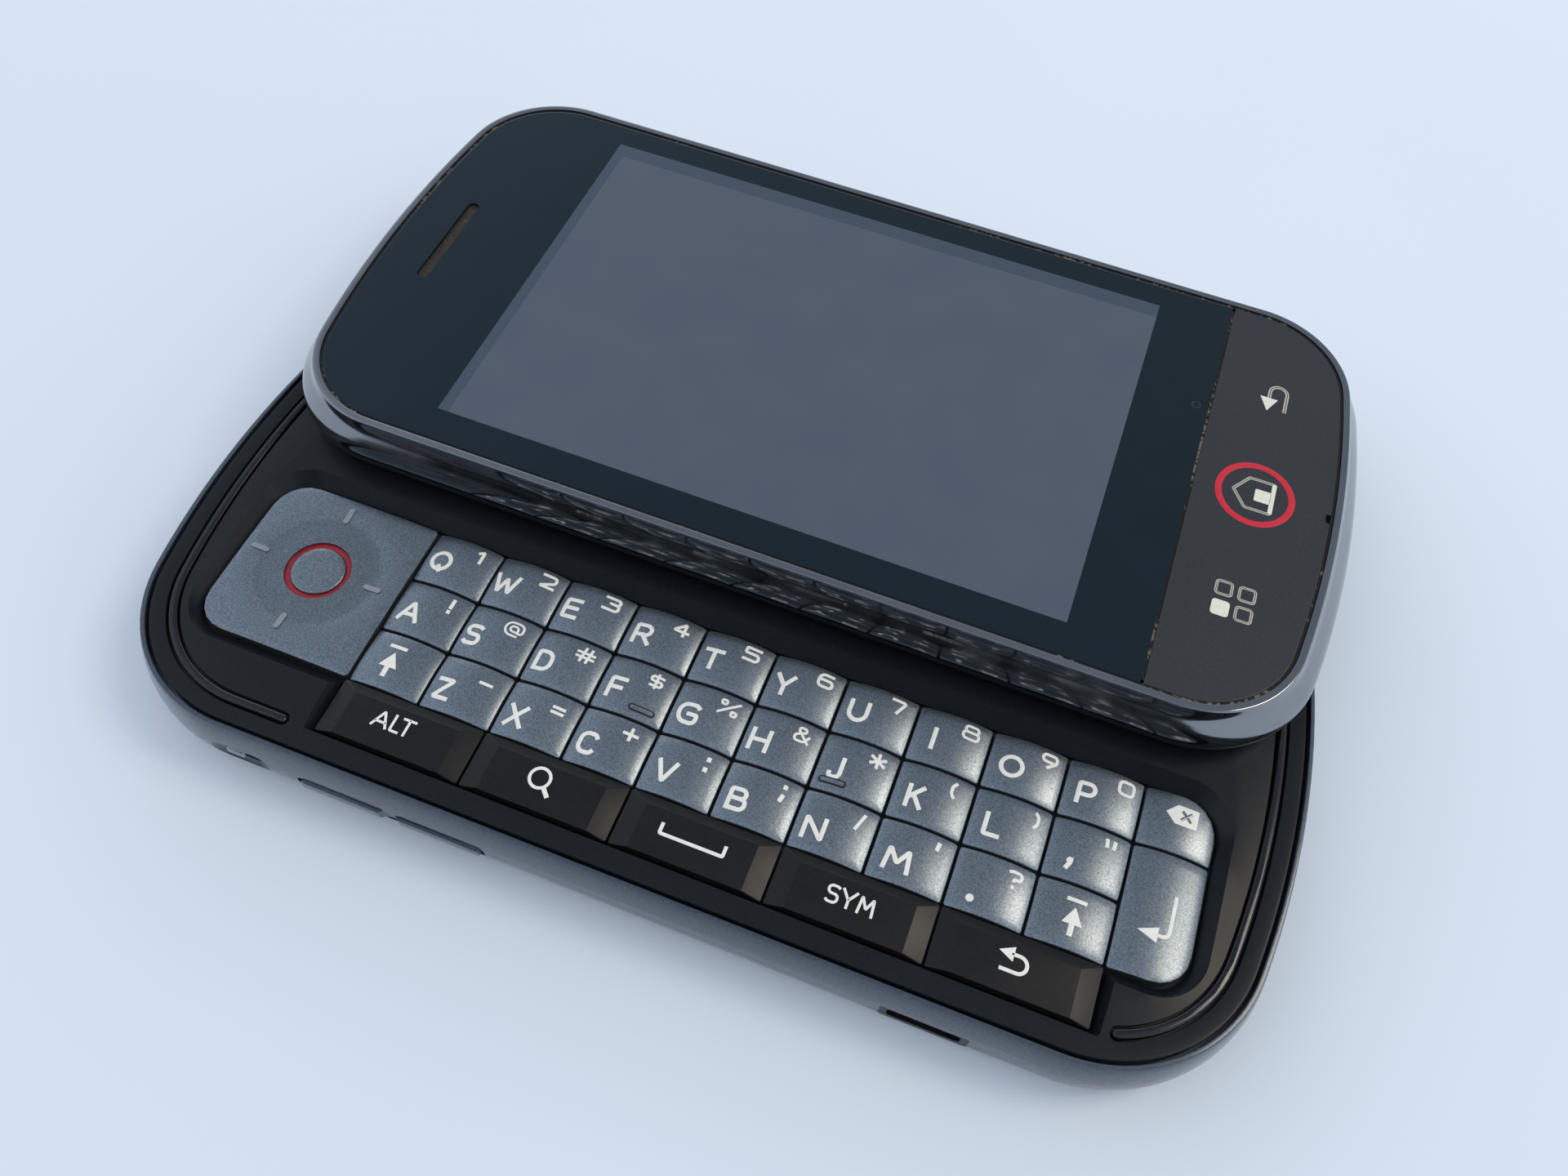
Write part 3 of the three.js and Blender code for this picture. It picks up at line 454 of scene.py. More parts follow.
def side_control(name, length, height, proud, slack=0, radius=0.55):
    """A bar through the wall with a flange behind it, face up along +Z."""
    foot = -WALL - CLEAR - slack
    wide = centred(length + 2 * FLANGE_LIP, height + 2 * FLANGE_LIP, 0.4)
    bar = centred(length, height, radius)
    levels = [(wide, foot - FLANGE), (wide, foot), (bar, foot), (bar, proud - 0.2)]
    for inset, drop in ((0.03, 0.11), (0.1, 0.04), (0.2, 0)):
        face = centred(length - 2 * inset, height - 2 * inset, radius - inset * 0.9)
        levels.append((face, proud - drop))
    return stack(name, levels)


def square_ring(name, inner, outer, low, high):
    """A ring with straight sides between two outlines."""
    levels = [(inner, low), (outer, low), (outer, high), (inner, high)]
    return stack(name, levels, ring=True)


key = SIDE_KEYS["volume"]
rocker = side_control("volume_bar", key["length"], key["height"], key["proud"], slack=0.1)
dip = plate("cutter", circle(DIP_RADIUS), -1.5, 1.5)
cut_with(rocker, turned(dip, "X", math.pi / 2, (0, 0, key["proud"] + DIP_RADIUS - DIP_DEPTH)))
to_side(rocker, key["x"], key["z"], key["side"])
settle(rocker, "volume_rocker", housing_paint, ["volume_rocker"])
for name in ("camera", "power"):
    key = SIDE_KEYS[name]
    button = side_control(f"{name}_bar", key["length"], key["height"], key["proud"])
    to_side(button, key["x"], key["z"], key["side"])
    settle(button, f"{name}_key", gloss_black, [f"{name}_key"])
# The connector's black frame is painted shade for the dark inside of its opening.
frame_inner, frame_outer = centred(6.7, 1.7, 0.4), centred(8.3, 2.9, 0.6)
port_shade_frame = square_ring("port_shade_frame", frame_inner, frame_outer, FRAME_BOTTOM, FRAME_TOP)
to_side(port_shade_frame, PORT["x"], PORT["z"], -1)
settle(port_shade_frame, "base", gloss_black)
nub = side_control("ringer_nub", 2, 1.1, -0.1, radius=0.4)
to_side(nub, RINGER["x"] - 0.65, RINGER["z"], -1)
settle(nub, "ringer_switch", plated, ["ringer_switch"])

# %% [markdown]
# ## Keyboard deck
# The deck is a black polycarbonate bezel with a soft satin texture. Its outer band rises a little
# to the rim and its inner part rises to the keys, so a shallow valley runs round between them, and
# a sloped recess leads down to the keys. It is stacked like the housing, and the recess is cut with
# two stacks of rounded rectangles that open upwards.

# %% Deck with its recess
deck_plastic = grained(
    "satin_black_polycarbonate", ("#10141a", "#171b22"), grain=0.3, roughness=(0.24, 0.32),
    bump=0.12, patch=11, Specular_IOR_Level=0.25,
)
DECK_BOTTOM, RECESS_DEPTH, KEY_CLEAR = 7.0, 1.25, 0.175
FIELD = (-49, 49, -19.42, -1.3)
BARS = (-31.76, 41.88, -25.24, -13.38)
GUIDE_BED, BED_FLOOR = (-42.3, 42.3, 6.5, 23), 7.6

edge = [(1.45, DECK_BOTTOM), (1.45, 8.37), (1.48, 8.45), (1.56, 8.5), (1.75, 8.52)]
edge += [(3.3, 8.36), (4.0, 8.36), (6.4, 8.6)]
deck = stack("deck_bezel", phone_levels(BASE, edge))


def pocket(foot, foot_radius, mouth, mouth_radius):
    """A cutter with straight walls up to the slope's foot, which then opens out to the deck."""
    inner = rounded_box(*foot, foot_radius, 10)
    outer = rounded_box(*mouth, mouth_radius, 10)
    levels = [(inner, DECK_BOTTOM - 1), (inner, BASE_TOP - RECESS_DEPTH), (outer, BASE_TOP)]
    return stack("cutter", levels + [(outer, BASE_TOP + 1)])


field_mouth = (FIELD[0] - 1.3, FIELD[1] + 1.3, FIELD[2] - 1.2, FIELD[3] + 1.7)
cut_with(deck, pocket(grown(FIELD, KEY_CLEAR), 3.575, field_mouth, 4.7))
bar_foot = (*grown(BARS, KEY_CLEAR)[:3], BARS[3])
bar_mouth = (BARS[0] - 0.9, BARS[1] + 0.9, BARS[2] - 0.2, BARS[3])
cut_with(deck, pocket(bar_foot, 0.4, bar_mouth, 0.4))
drill(deck, rounded_box(*GUIDE_BED, 0.2), BED_FLOOR, BASE_TOP + 1)
print("deck faces:", len(deck.data.polygons))

# %% [markdown]
# A narrow strip is let into the deck round each front corner. It stands in a channel a little
# wider than itself, so that a dark line shows along both its sides. The channel and the strip
# follow the same path at a constant distance from the base's outline, and end in a half circle.

# %% Inlaid strips
STRIP_INSET, CHANNEL_HALF, STRIP_HALF = 3.66, 0.67, 0.42
STRIP_HIDDEN_Y, CHANNEL_FLOOR = 21, 7.7
LEFT_LAST, LEFT_END, RIGHT_LAST, RIGHT_END = -38, -34.7, 44.6, 44
STRIP_EDGE = ((0, 7.71), (0, 8.33), (0.03, 8.4), (0.1, 8.46), (0.2, 8.5), (0.32, 8.52))


def band(path, half):
    """The outline of a strip along a path: one side, a round end, and the other side back."""
    left, right = [], []
    for i, (px, py) in enumerate(path):
        ax, ay = path[max(i - 1, 0)]
        bx, by = path[min(i + 1, len(path) - 1)]
        length = math.hypot(bx - ax, by - ay)
        nx, ny = (ay - by) / length * half, (bx - ax) / length * half
        left.append((px + nx, py + ny))
        right.append((px - nx, py - ny))
    (ex, ey), (lx, ly) = path[-1], left[-1]
    start = math.atan2(ly - ey, lx - ex)
    turns = [start - math.pi * i / 8 for i in range(1, 8)]
    cap = [(ex + half * math.cos(t), ey + half * math.sin(t)) for t in turns]
    return left + cap + right[::-1]


loop = phone_outline(BASE, STRIP_INSET)
left_path = [p for p in loop if p[0] < LEFT_LAST and p[1] < STRIP_HIDDEN_Y]
left_path.append((LEFT_END, STRIP_INSET - BASE[1]))
right_path = [p for p in loop if p[0] > 0 and p[1] < STRIP_HIDDEN_Y]
right_path.sort(key=lambda p: math.atan2(p[1], p[0]), reverse=True)
right_path = [p for p in right_path if p[0] > RIGHT_LAST]
right_path.append((RIGHT_END, STRIP_INSET + 0.7 - BASE[1]))
strip_lacquer = grained(
    "gunmetal_lacquer", ("#343538", "#404144"), grain=0.2, roughness=(0.13, 0.21),
    bump=0.05, Metallic=0.9,
)
for name, path in (("left", left_path), ("right", right_path)):
    drill(deck, band(path, CHANNEL_HALF), CHANNEL_FLOOR, 9)
    levels = [(band(path, STRIP_HALF - inset), z) for inset, z in STRIP_EDGE]
    settle(stack(f"deck_strip_{name}", levels), "base", strip_lacquer)
settle(deck, "base", deck_plastic, ["keypad_deck"], angle=20)

# %% [markdown]
# Under the keys lies a black silicone mat with the rubber domes. Only slits of it show between
# the caps, so a thin sheet with a dull finish is enough.

# %% Keypad mat
silicone = grained("black_silicone", ("#0b0b0d", "#131316"), grain=0.4, roughness=(0.6, 0.75))
MAT, MAT_RADIUS, MAT_BOTTOM, MAT_TOP = (-49.1, 49.1, -25.3, -1.2), 3.4, 6.72, 6.78
mat = plate("keypad_mat", rounded_box(*MAT, MAT_RADIUS), MAT_BOTTOM, MAT_TOP)
settle(mat, "base", silicone)

# %% [markdown]
# ## Letter caps
# The caps are moulded polycarbonate with a satin gunmetal coat whose grit is about 0.12 mm. Each
# top is gently pillowed, which is why a window in the room lights only its lower right part. A cap
# is a stack with a rounded shoulder. Its top is then cut into a grid by bisecting planes, and the
# grid is lifted to the pillow. All the 30 square caps are copies of one.

# %% Cap helpers
CAP_BOTTOM, LETTER_TOP = 7.05, 8.3
HALF_GAP, SQUARE, ROUND = 0.12, 0.25, 3.4
ROW_PITCH, COLUMN_PITCH = 6.04, 7.364
SHOULDER = ((0, 0), (0.01, 0.08), (0.04, 0.12), (0.1, 0.14))
RISE_X, RISE_Y = 0.56, 0.18

keycap = grained(
    "satin_gunmetal_keycap", ("#5f6a74", "#969fa8"), grain=0.16, roughness=(0.31, 0.39),
    bump=0.16, depth=0.03, Metallic=0.9,
)


def pillow(box, top, rise_x, rise_y):
    """The height of a pillowed top at a point; it is highest in the middle."""
    cx, cy = (box[0] + box[1]) / 2, (box[2] + box[3]) / 2
    hx, hy = (box[1] - box[0]) / 2, (box[3] - box[2]) / 2

    def height(px, py):
        u, v = (px - cx) / hx, (py - cy) / hy
        return top - rise_x * u * u - rise_y * v * v

    return height


def score(piece, lines):
    """Divides a piece's faces along lines, each given by its axis and its place on it."""
    select_only(piece)
    bpy.ops.object.mode_set(mode="EDIT")
    for axis, place in lines:
        point, normal = [0, 0, 0], [0, 0, 0]
        point[axis], normal[axis] = place * MM, 1
        bpy.ops.mesh.select_all(action="SELECT")
        bpy.ops.mesh.bisect(plane_co=point, plane_no=normal)
    bpy.ops.object.mode_set(mode="OBJECT")


def grid_cut(piece, box, nx, ny):
    """Divides a piece's faces into a grid over a rectangle."""
    lines = [(0, box[0] + (box[1] - box[0]) * i / nx) for i in range(1, nx)]
    score(piece, lines + [(1, box[2] + (box[3] - box[2]) * i / ny) for i in range(1, ny)])


def pillowed_cap(name, box, radii, surface, grid):
    """A cap whose shoulder and top follow a height function."""
    lowest = min(surface(x, y) for x in box[:2] for y in box[2:])
    start = lowest - SHOULDER[-1][1]
    levels = [(rounded_box(*box, radii, 5), CAP_BOTTOM)]
    for inset, up in SHOULDER:
        smaller = [max(r - inset, 0.05) for r in radii]
        levels.append((rounded_box(*grown(box, -inset), smaller, 5), start + up))
    cap = stack(name, levels)
    grid_cut(cap, box, *grid)
    for v in cap.data.vertices:
        if v.co.z > (start - 0.01) * MM:
            v.co.z += (surface(v.co.x / MM, v.co.y / MM) - lowest) * MM
    cap.data.materials.append(keycap)
    return cap


def copy_of(piece, name, x, y):
    """A copy with its own mesh, moved in the mesh."""
    select_only(piece)
    bpy.ops.object.duplicate()
    made = bpy.context.object
    made.name = made.data.name = name
    edit_all(made)
    bpy.ops.transform.translate(value=(x * MM, y * MM, 0))
    bpy.ops.object.mode_set(mode="OBJECT")
    return made


def key_box(column, row, rows=1):
    """The sides of a cap, half a gap inside the lines of the key field."""
    x, y = BARS[0] + column * COLUMN_PITCH, FIELD[3] - row * ROW_PITCH
    return grown((x, x + COLUMN_PITCH, y - rows * ROW_PITCH, y), -HALF_GAP)


def pillowed_key(name, box, radii, grid):
    """A letter cap with the pillow that all of them have, kept with its surface."""
    surfaces[name] = pillow(box, LETTER_TOP, RISE_X, RISE_Y)
    caps[name] = pillowed_cap(f"cap_{name}", box, radii, surfaces[name], grid)


caps, surfaces = {}, {}
print("a letter cap's sides:", [round(v, 3) for v in key_box(0, 0)])

# %% [markdown]
# The caps stand in three rows of ten. Two taller or rounder ones close the rows at the right: the
# delete key and the return key, which share the corners of the key field.

# %% Letter caps
rows = [
    list("qwertyuiop"),
    [*"asdfghjkl", "comma"],
    ["shift_left", *"zxcvbnm", "period", "shift_right"],
]
first = key_box(0, 0)
pillowed_key("pattern", first, [SQUARE] * 4, (8, 7))
pattern = caps.pop("pattern")
for row, names in enumerate(rows):
    for column, name in enumerate(names):
        box = key_box(column, row)
        surfaces[name] = pillow(box, LETTER_TOP, RISE_X, RISE_Y)
        caps[name] = copy_of(pattern, f"cap_{name}", box[0] - first[0], box[2] - first[2])
bpy.data.objects.remove(pattern)

right = (BARS[1] + HALF_GAP, FIELD[1] - HALF_GAP)
pillowed_key("delete", (*right, *key_box(0, 0)[2:]), [ROUND, SQUARE, SQUARE, SQUARE], (8, 7))
pillowed_key("return", (*right, *key_box(0, 1, rows=2)[2:]), [SQUARE] * 3 + [ROUND], (8, 12))
print("letter caps:", len(caps), "with", len(caps["q"].data.polygons), "faces each")

# %% [markdown]
# ## Bar keys
# The front row has five glossy black keys, two columns wide. Each end is a facet that slopes down
# for almost two millimetres, the back has a bevel of one millimetre, and the front is nearly
# straight. A stack of three rectangles gives the shape, and a Bevel modifier softens its edges.

# %% Bar keys
BAR_TOP, BAR_SHOULDER = 8.7, 8.03
BAR_END, BAR_FRONT, BAR_BACK = 1.85, 0.14, 1.05
SOFT_EDGE, FLATTEST_EDGE = 0.05, 14
bar_names = ["alt", "search", "space", "symbol", "back"]
for index, name in enumerate(bar_names):
    x0 = BARS[0] + 2 * COLUMN_PITCH * index + HALF_GAP
    x1 = x0 + 2 * (COLUMN_PITCH - HALF_GAP)
    y0, y1 = BARS[2] + HALF_GAP, FIELD[2] - HALF_GAP
    foot = rounded_box(x0, x1, y0, y1, 0.2, 2)
    top = rounded_box(x0 + BAR_END, x1 - BAR_END, y0 + BAR_FRONT, y1 - BAR_BACK, 0.08, 2)
    bar = stack(f"bar_{name}", [(foot, CAP_BOTTOM), (foot, BAR_SHOULDER), (top, BAR_TOP)])
    bevel = bar.modifiers.new("soft", "BEVEL")
    bevel.width, bevel.segments, bevel.limit_method = SOFT_EDGE * MM, 2, "ANGLE"
    bevel.angle_limit = math.radians(FLATTEST_EDGE)
    select_only(bar)
    bpy.ops.object.modifier_apply(modifier="soft")
    bar.data.materials.append(gloss_black)
    caps[name] = bar
    surfaces[name] = lambda px, py: BAR_TOP
print("bar keys:", bar_names)

# %% [markdown]
# ## Direction pad
# The pad is one large cap with a round hole for its centre button, and the finger has a shallow
# dish round the hole; inside the dish the pad's colour is painted a little darker, as painted shade
# of the dish. The button is a small crowned disc. A ring of red light guide lies in the gap between
# them, a little below both, and its walls stay dark.

# %% Direction pad, button and light ring
PAD_CENTRE = (-40.5, -10.1)
HOLE_RADIUS, BUTTON_RADIUS = 3.27, 2.67
DISH_RADIUS, DISH_EDGE, DISH_DEPTH = 5.4, 2.2, 0.2
DISH_SHADE_FROM, DISH_SHADE_TO, DISH_SHADE_TONE = 5.9, 6.4, 0.84
LIGHT_BOTTOM, LIGHT_TOP = 7.4, 7.75
pad_box = (FIELD[0] + HALF_GAP, BARS[0] - HALF_GAP, FIELD[2] + HALF_GAP, FIELD[3] - HALF_GAP)
pad_plain = pillow(pad_box, LETTER_TOP, 0.2, 0.2)


def pad_surface(px, py):
    """The pad's height: a pillow with a dish whose edge is a smooth step."""
    away = math.hypot(px - PAD_CENTRE[0], py - PAD_CENTRE[1]) - DISH_RADIUS
    t = min(max(away / DISH_EDGE, 0), 1)
    return pad_plain(px, py) - DISH_DEPTH * (1 - t * t * (3 - 2 * t))


surfaces["pad"] = pad_surface
pad = pillowed_cap("pad_plate", pad_box, [0.4, 3.4, 3.4, 0.4], pad_surface, (22, 22))
drill(pad, circle(HOLE_RADIUS, *PAD_CENTRE), 6, 9)


def multiplied(tree, share, colour, by):
    """A colour multiplied by another value, in full or in part."""
    settings = {"data_type": "RGBA", "blend_type": "MULTIPLY", 0: share}
    return add(tree, "ShaderNodeMix", settings, {6: colour, 7: by}).outputs[2]


# The pad's colour is multiplied darker within the dish's radius: this is painted shade of the dish.
pad_finish = keycap.copy()
pad_finish.name = "pad_with_painted_dish_shade"
tree = pad_finish.node_tree
surface = tree.nodes["Principled BSDF"]
sprayed = surface.inputs["Base Color"].links[0].from_socket
place = add(tree, "ShaderNodeTexCoord").outputs["Object"]
middle = [v * MM for v in (*PAD_CENTRE, LETTER_TOP)]
away = add(tree, "ShaderNodeVectorMath", {"operation": "DISTANCE", 1: middle}, {0: place})
dish_shade = remap(tree, away.outputs["Value"], DISH_SHADE_FROM * MM, DISH_SHADE_TO * MM, (DISH_SHADE_TONE, 1))
feed(tree, surface, {"Base Color": multiplied(tree, 1, sprayed, dish_shade)})
pad.data.materials.clear()
pad.data.materials.append(pad_finish)
caps["pad"] = pad

button_top = pad_surface(*PAD_CENTRE) - 0.02
levels = [(circle(BUTTON_RADIUS, *PAD_CENTRE), CAP_BOTTOM)]
for inset, drop in ((0, 0.13), (0.04, 0.07), (0.12, 0.03), (0.6, 0.01), (1.6, 0)):
    levels.append((circle(BUTTON_RADIUS - inset, *PAD_CENTRE), button_top - drop))
button = stack("select_disc", levels)
settle(button, "select_button", keycap, ["select_button"])

red_guide = grained(
    "red_light_guide", ("#8c1322", "#a81f31"), grain=0.3, roughness=(0.25, 0.35), bump=0.03
)
inner, outer = circle(BUTTON_RADIUS + 0.04, *PAD_CENTRE), circle(HOLE_RADIUS - 0.01, *PAD_CENTRE)
glow = square_ring("select_ring", inner, outer, LIGHT_BOTTOM, LIGHT_TOP)
settle(glow, "direction_pad", red_guide)

# %% [markdown]
# ## Drawing the letters
# The legends are a plain rounded stroke alphabet in white ink, drawn on a unit square. A stroke
# is a row of points; a third number rounds its corner, as a share of the letter's height, and z
# closes it. A font would be quicker, but Blender's own has other proportions and sharp corners.
# Each stroke becomes a poly curve with a round bevel, is turned to a mesh, pressed nearly
# flat, and laid on the cap's pillow, so it lies on the key like a printed film.

# %% Stroke alphabet
GLYPHS = {
    "A": "0,0 .5,1 1,0|.18,.3 .82,.3",
    "B": "0,0 0,1 .9,1,.25 .9,.53,.2 0,.53|.6,.53 1,.53,.22 1,0,.26 0,0",
    "C": ".97,.88 .86,1,.2 0,1,.5 0,0,.5 .86,0,.2 .97,.12",
    "D": "0,0 0,1 1,1,.5 1,0,.5 0,0 0,.3",
    "E": "1,1 0,1 0,0 1,0|0,.52 .9,.52",
    "F": "1,1 0,1 0,0|0,.5 .85,.5",
    "G": ".97,.9 .86,1,.2 0,1,.5 0,0,.5 1,0,.4 1,.48 .55,.48",
    "H": "0,0 0,1|1,0 1,1|0,.5 1,.5",
    "I": ".5,0 .5,1",
    "J": "1,1 1,0,.35 0,0,.3 0,.17",
    "K": "0,0 0,1|.95,1 .05,.4|.36,.6 1,0",
    "L": "0,1 0,0 1,0",
    "M": "0,0 .1,1 .5,.3 .9,1 1,0",
    "N": "0,0 0,1 1,0 1,1",
    "O": "1,1,.5 1,0,.5 0,0,.5 0,1,.5 z",
    "P": "0,0 0,1 1,1,.29 1,.4,.29 0,.4",
    "Q": "1,1,.5 1,0,.5 0,0,.5 0,1,.5 z|.52,.16 .62,-.06",
    "R": "0,0 0,1 .95,1,.28 .95,.44,.28 0,.44|.5,.44 1,0",
    "S": ".92,.95 .8,1,.15 0,1,.28 0,.54,.22 1,.5,.2 1,0,.28 .15,0,.15 .04,.06",
    "T": "0,1 1,1|.5,1 .5,0",
    "U": "0,1 0,0,.5 1,0,.5 1,1",
    "V": "0,1 .5,0 1,1",
    "W": "0,1 .25,0 .5,.85 .75,0 1,1",
    "X": "0,0 1,1|0,1 1,0",
    "Y": "0,1 .5,.45 1,1|.5,.5 .5,0",
    "Z": "0,1 1,1 0,0 1,0",
    "0": "1,1,.3 1,0,.3 0,0,.3 0,1,.3 z",
    "1": "0,.8 1,1 1,0",
    "2": "0,1 1,1,.3 1,.52,.25 0,0 1,0",
    "3": "0,1 1,1,.2 .95,.54,.2 .4,.54|.4,.54 1,.54,.2 1,0,.24 0,0",
    "4": "1,.3 0,.3 .72,1 .72,0",
    "5": "1,1 0,1 0,.56 1,.56,.26 1,0,.26 0,0",
    "6": ".9,1 0,1,.4 0,0,.28 1,0,.28 1,.56,.26 .1,.56",
    "7": "0,1 1,1,.1 .5,0",
    "8": ".5,1 .92,1,.2 .92,.54,.2 .08,.54,.2 .08,1,.2 z|"
    ".5,.54 1,.54,.2 1,0,.25 0,0,.25 0,.54,.2 z",
    "9": ".9,.44 0,.44,.26 0,1,.28 1,1,.28 1,.5,.4 .45,0",
    "!": ".5,1 .5,.4|.5,.0 .5,-.03",
    "@": ".72,.3 .28,.3,.2 .28,.72,.2 .72,.72,.2 .72,.25 1,.3,.2 1,1,.45 0,1,.45 0,0,.45 .75,0",
    "#": ".28,0 .38,1|.66,0 .76,1|0,.66 1,.66|0,.32 1,.32",
    "$": ".96,.84 .8,.86,.1 0,.86,.2 0,.52,.15 1,.5,.15 1,.14,.2 .1,.14|.5,1 .5,0",
    "%": "0,0 1,1|.02,.98 .3,.98,.1 .3,.68,.1 .02,.68,.1 z|"
    ".7,.32 .98,.32,.1 .98,.02,.1 .7,.02,.1 z",
    "&": "1,0 .2,.75,.12 .2,1,.15 .7,1,.15 .7,.72,.12 0,.4,.2 0,0,.25 .7,0,.25 1,.45",
    "*": ".5,1 .5,0|.05,.76 .95,.24|.05,.24 .95,.76",
    "(": "1,1 .1,.8,.5 .1,.2,.5 1,0",
    ")": "0,1 .9,.8,.5 .9,.2,.5 0,0",
    '"': "0,1 .06,0|1,1 .94,0",
    "-": "0,.5 1,.5",
    "=": "0,.95 1,.95|0,.05 1,.05",
    "+": "0,.5 1,.5|.5,0 .5,1",
    ":": ".5,.92 .5,.88|.5,.12 .5,.08",
    ";": ".6,.98 .6,.94|.6,.26 .3,-.02",
    "/": "0,0 1,1",
    "'": ".7,1 .4,0",
    "?": "0,.95 .2,1,.1 1,1,.25 1,.55,.2 .4,.5,.1 .4,.42|.4,.0 .4,-.03",
    ",": ".8,.95 .7,.5 .2,0",
}
print("glyphs:", len(GLYPHS))

# %% [markdown]
# The corners of a stroke are rounded with short arcs. Long steps are divided, so that the film can
# follow the pillow, and open ends are moved on by half the line's width.

# %% Stroke helpers
ARC_STEPS, LONGEST_STEP, SHORTEST_STEP, LEAST_CORNER = 5, 0.4, 0.005, 0.4
NEARLY_STRAIGHT, TINY = 0.02, 1e-4


def rounded(points, closed, least):
    """A row of (x, y, radius) points with its corners rounded and long steps divided."""
    count, made = len(points), []
    for i, (px, py, radius) in enumerate(points):
        if not closed and i in (0, count - 1):
            made.append(Vector((px, py)))
            continue
        here = Vector((px, py))
        before = Vector(points[i - 1][:2]) - here
        after = Vector(points[(i + 1) % count][:2]) - here
        half = before.angle(after, math.pi) / 2
        sharp = radius or least * min(1, math.tan(half))
        reach = min(sharp / max(math.tan(half), 0.01), 0.5 * before.length, 0.5 * after.length)
        if math.pi / 2 - half < NEARLY_STRAIGHT or reach < TINY:
            made.append(here)
            continue
        before, after = before.normalized(), after.normalized()
        a, b = here + before * reach, here + after * reach
        centre = here + (before + after).normalized() * reach / math.cos(half)
        for s in range(ARC_STEPS + 1):
            spoke = (a - centre).lerp(b - centre, s / ARC_STEPS)
            made.append(centre + spoke.normalized() * (a - centre).length)
    if closed:
        made.append(made[0])
    fine = [made[0]]
    for point in made[1:]:
        pieces = max(1, math.ceil((point - fine[-1]).length / LONGEST_STEP))
        start = fine[-1].copy()
        fine += [start.lerp(point, n / pieces) for n in range(1, pieces + 1)]
    return fine[:-1] if closed else fine


def longer(points, beyond):
    """Moves the last point of a stroke on, because the curve's ends are cut off square."""
    (ax, ay, _), (bx, by, radius) = points[-2:]
    share = beyond / math.hypot(bx - ax, by - ay)
    return points[:-1] + [(bx + (bx - ax) * share, by + (by - ay) * share, radius)]


def glyph_strokes(glyph, x0, x1, y0, y1, width):
    """The strokes of a glyph, fitted with its line width into a rectangle."""
    half = width / 2
    left, low = x0 + half, y0 + half
    across, up = x1 - x0 - width, y1 - y0 - width
    strokes = []
    for text in GLYPHS[glyph].split("|"):
        words = text.split()
        closed = words[-1] == "z"
        points = []
        for word in words[: -1 if closed else None]:
            u, v, *r = (float(n) for n in word.split(","))
            points.append((left + u * max(across, 0), low + v * max(up, 0), (r or [0])[0] * up))
        if not closed:
            points = longer(points[::-1], half)[::-1]
            points = longer(points, half)
        strokes.append((points, closed, width))
    return strokes


# %% [markdown]
# One call turns the strokes and filled shapes of a key into a single film of ink. The film is
# 0.07 mm thick, and its points take their height from the key's surface.

# %% Ink helper
INK_HALF = 0.035
white_ink = grained(
    "white_pad_printing_ink", ("#dfe2e0", "#eceeeb"), grain=0.4, roughness=(0.4, 0.5), bump=0.05
)


def drawn(strokes):
    """Strokes as one mesh: rods with a round section, pressed nearly flat."""
    curve = bpy.data.curves.new("ink", "CURVE")
    curve.dimensions, curve.use_fill_caps = "3D", True
    curve.bevel_depth, curve.bevel_resolution = MM, 1
    for points, closed, width in strokes:
        path = rounded(points, closed, width * LEAST_CORNER)
        path = [
            point
            for i, point in enumerate(path)
            if (point - path[i - 1]).length > SHORTEST_STEP or not (i or closed)
        ]
        spline = curve.splines.new("POLY")
        spline.points.add(len(path) - 1)
        for target, point in zip(spline.points, path):
            target.co = (point.x * MM, point.y * MM, 0, 1)
            target.radius = width / 2
        spline.use_cyclic_u = closed
    rods = bpy.data.objects.new("ink", curve)
    bpy.context.scene.collection.objects.link(rods)
    select_only(rods)
    bpy.ops.object.convert(target="MESH")
    for v in bpy.context.object.data.vertices:
        v.co.z = max(min(v.co.z, INK_HALF * MM), -INK_HALF * MM)
    return bpy.context.object


def ink(strokes, shapes, surface, material=white_ink, lift=0.0):
    """A film of strokes and filled outlines that follows a surface."""
    parts = [drawn(strokes)] if strokes else []
    for outline in shapes:
        shape = plate("ink", outline, -INK_HALF, INK_HALF)
        xs, ys = [x for x, y in outline], [y for x, y in outline]
        box = (min(xs), max(xs), min(ys), max(ys))
        counts = [math.ceil((high - low) / LONGEST_STEP) for low, high in (box[:2], box[2:])]
        grid_cut(shape, box, *counts)
        parts.append(shape)
    film = join(*parts)
    weld(film, SAME_POINT)
    for v in film.data.vertices:
        v.co.z += (surface(v.co.x / MM, v.co.y / MM) + lift) * MM
    film.data.materials.clear()
    film.data.materials.append(material)
    return film


# %% [markdown]
# Each cap carries its letter at the left and a number or sign at the upper right. The table gives
# where each one starts and ends along the phone; the heights are the same along a row.

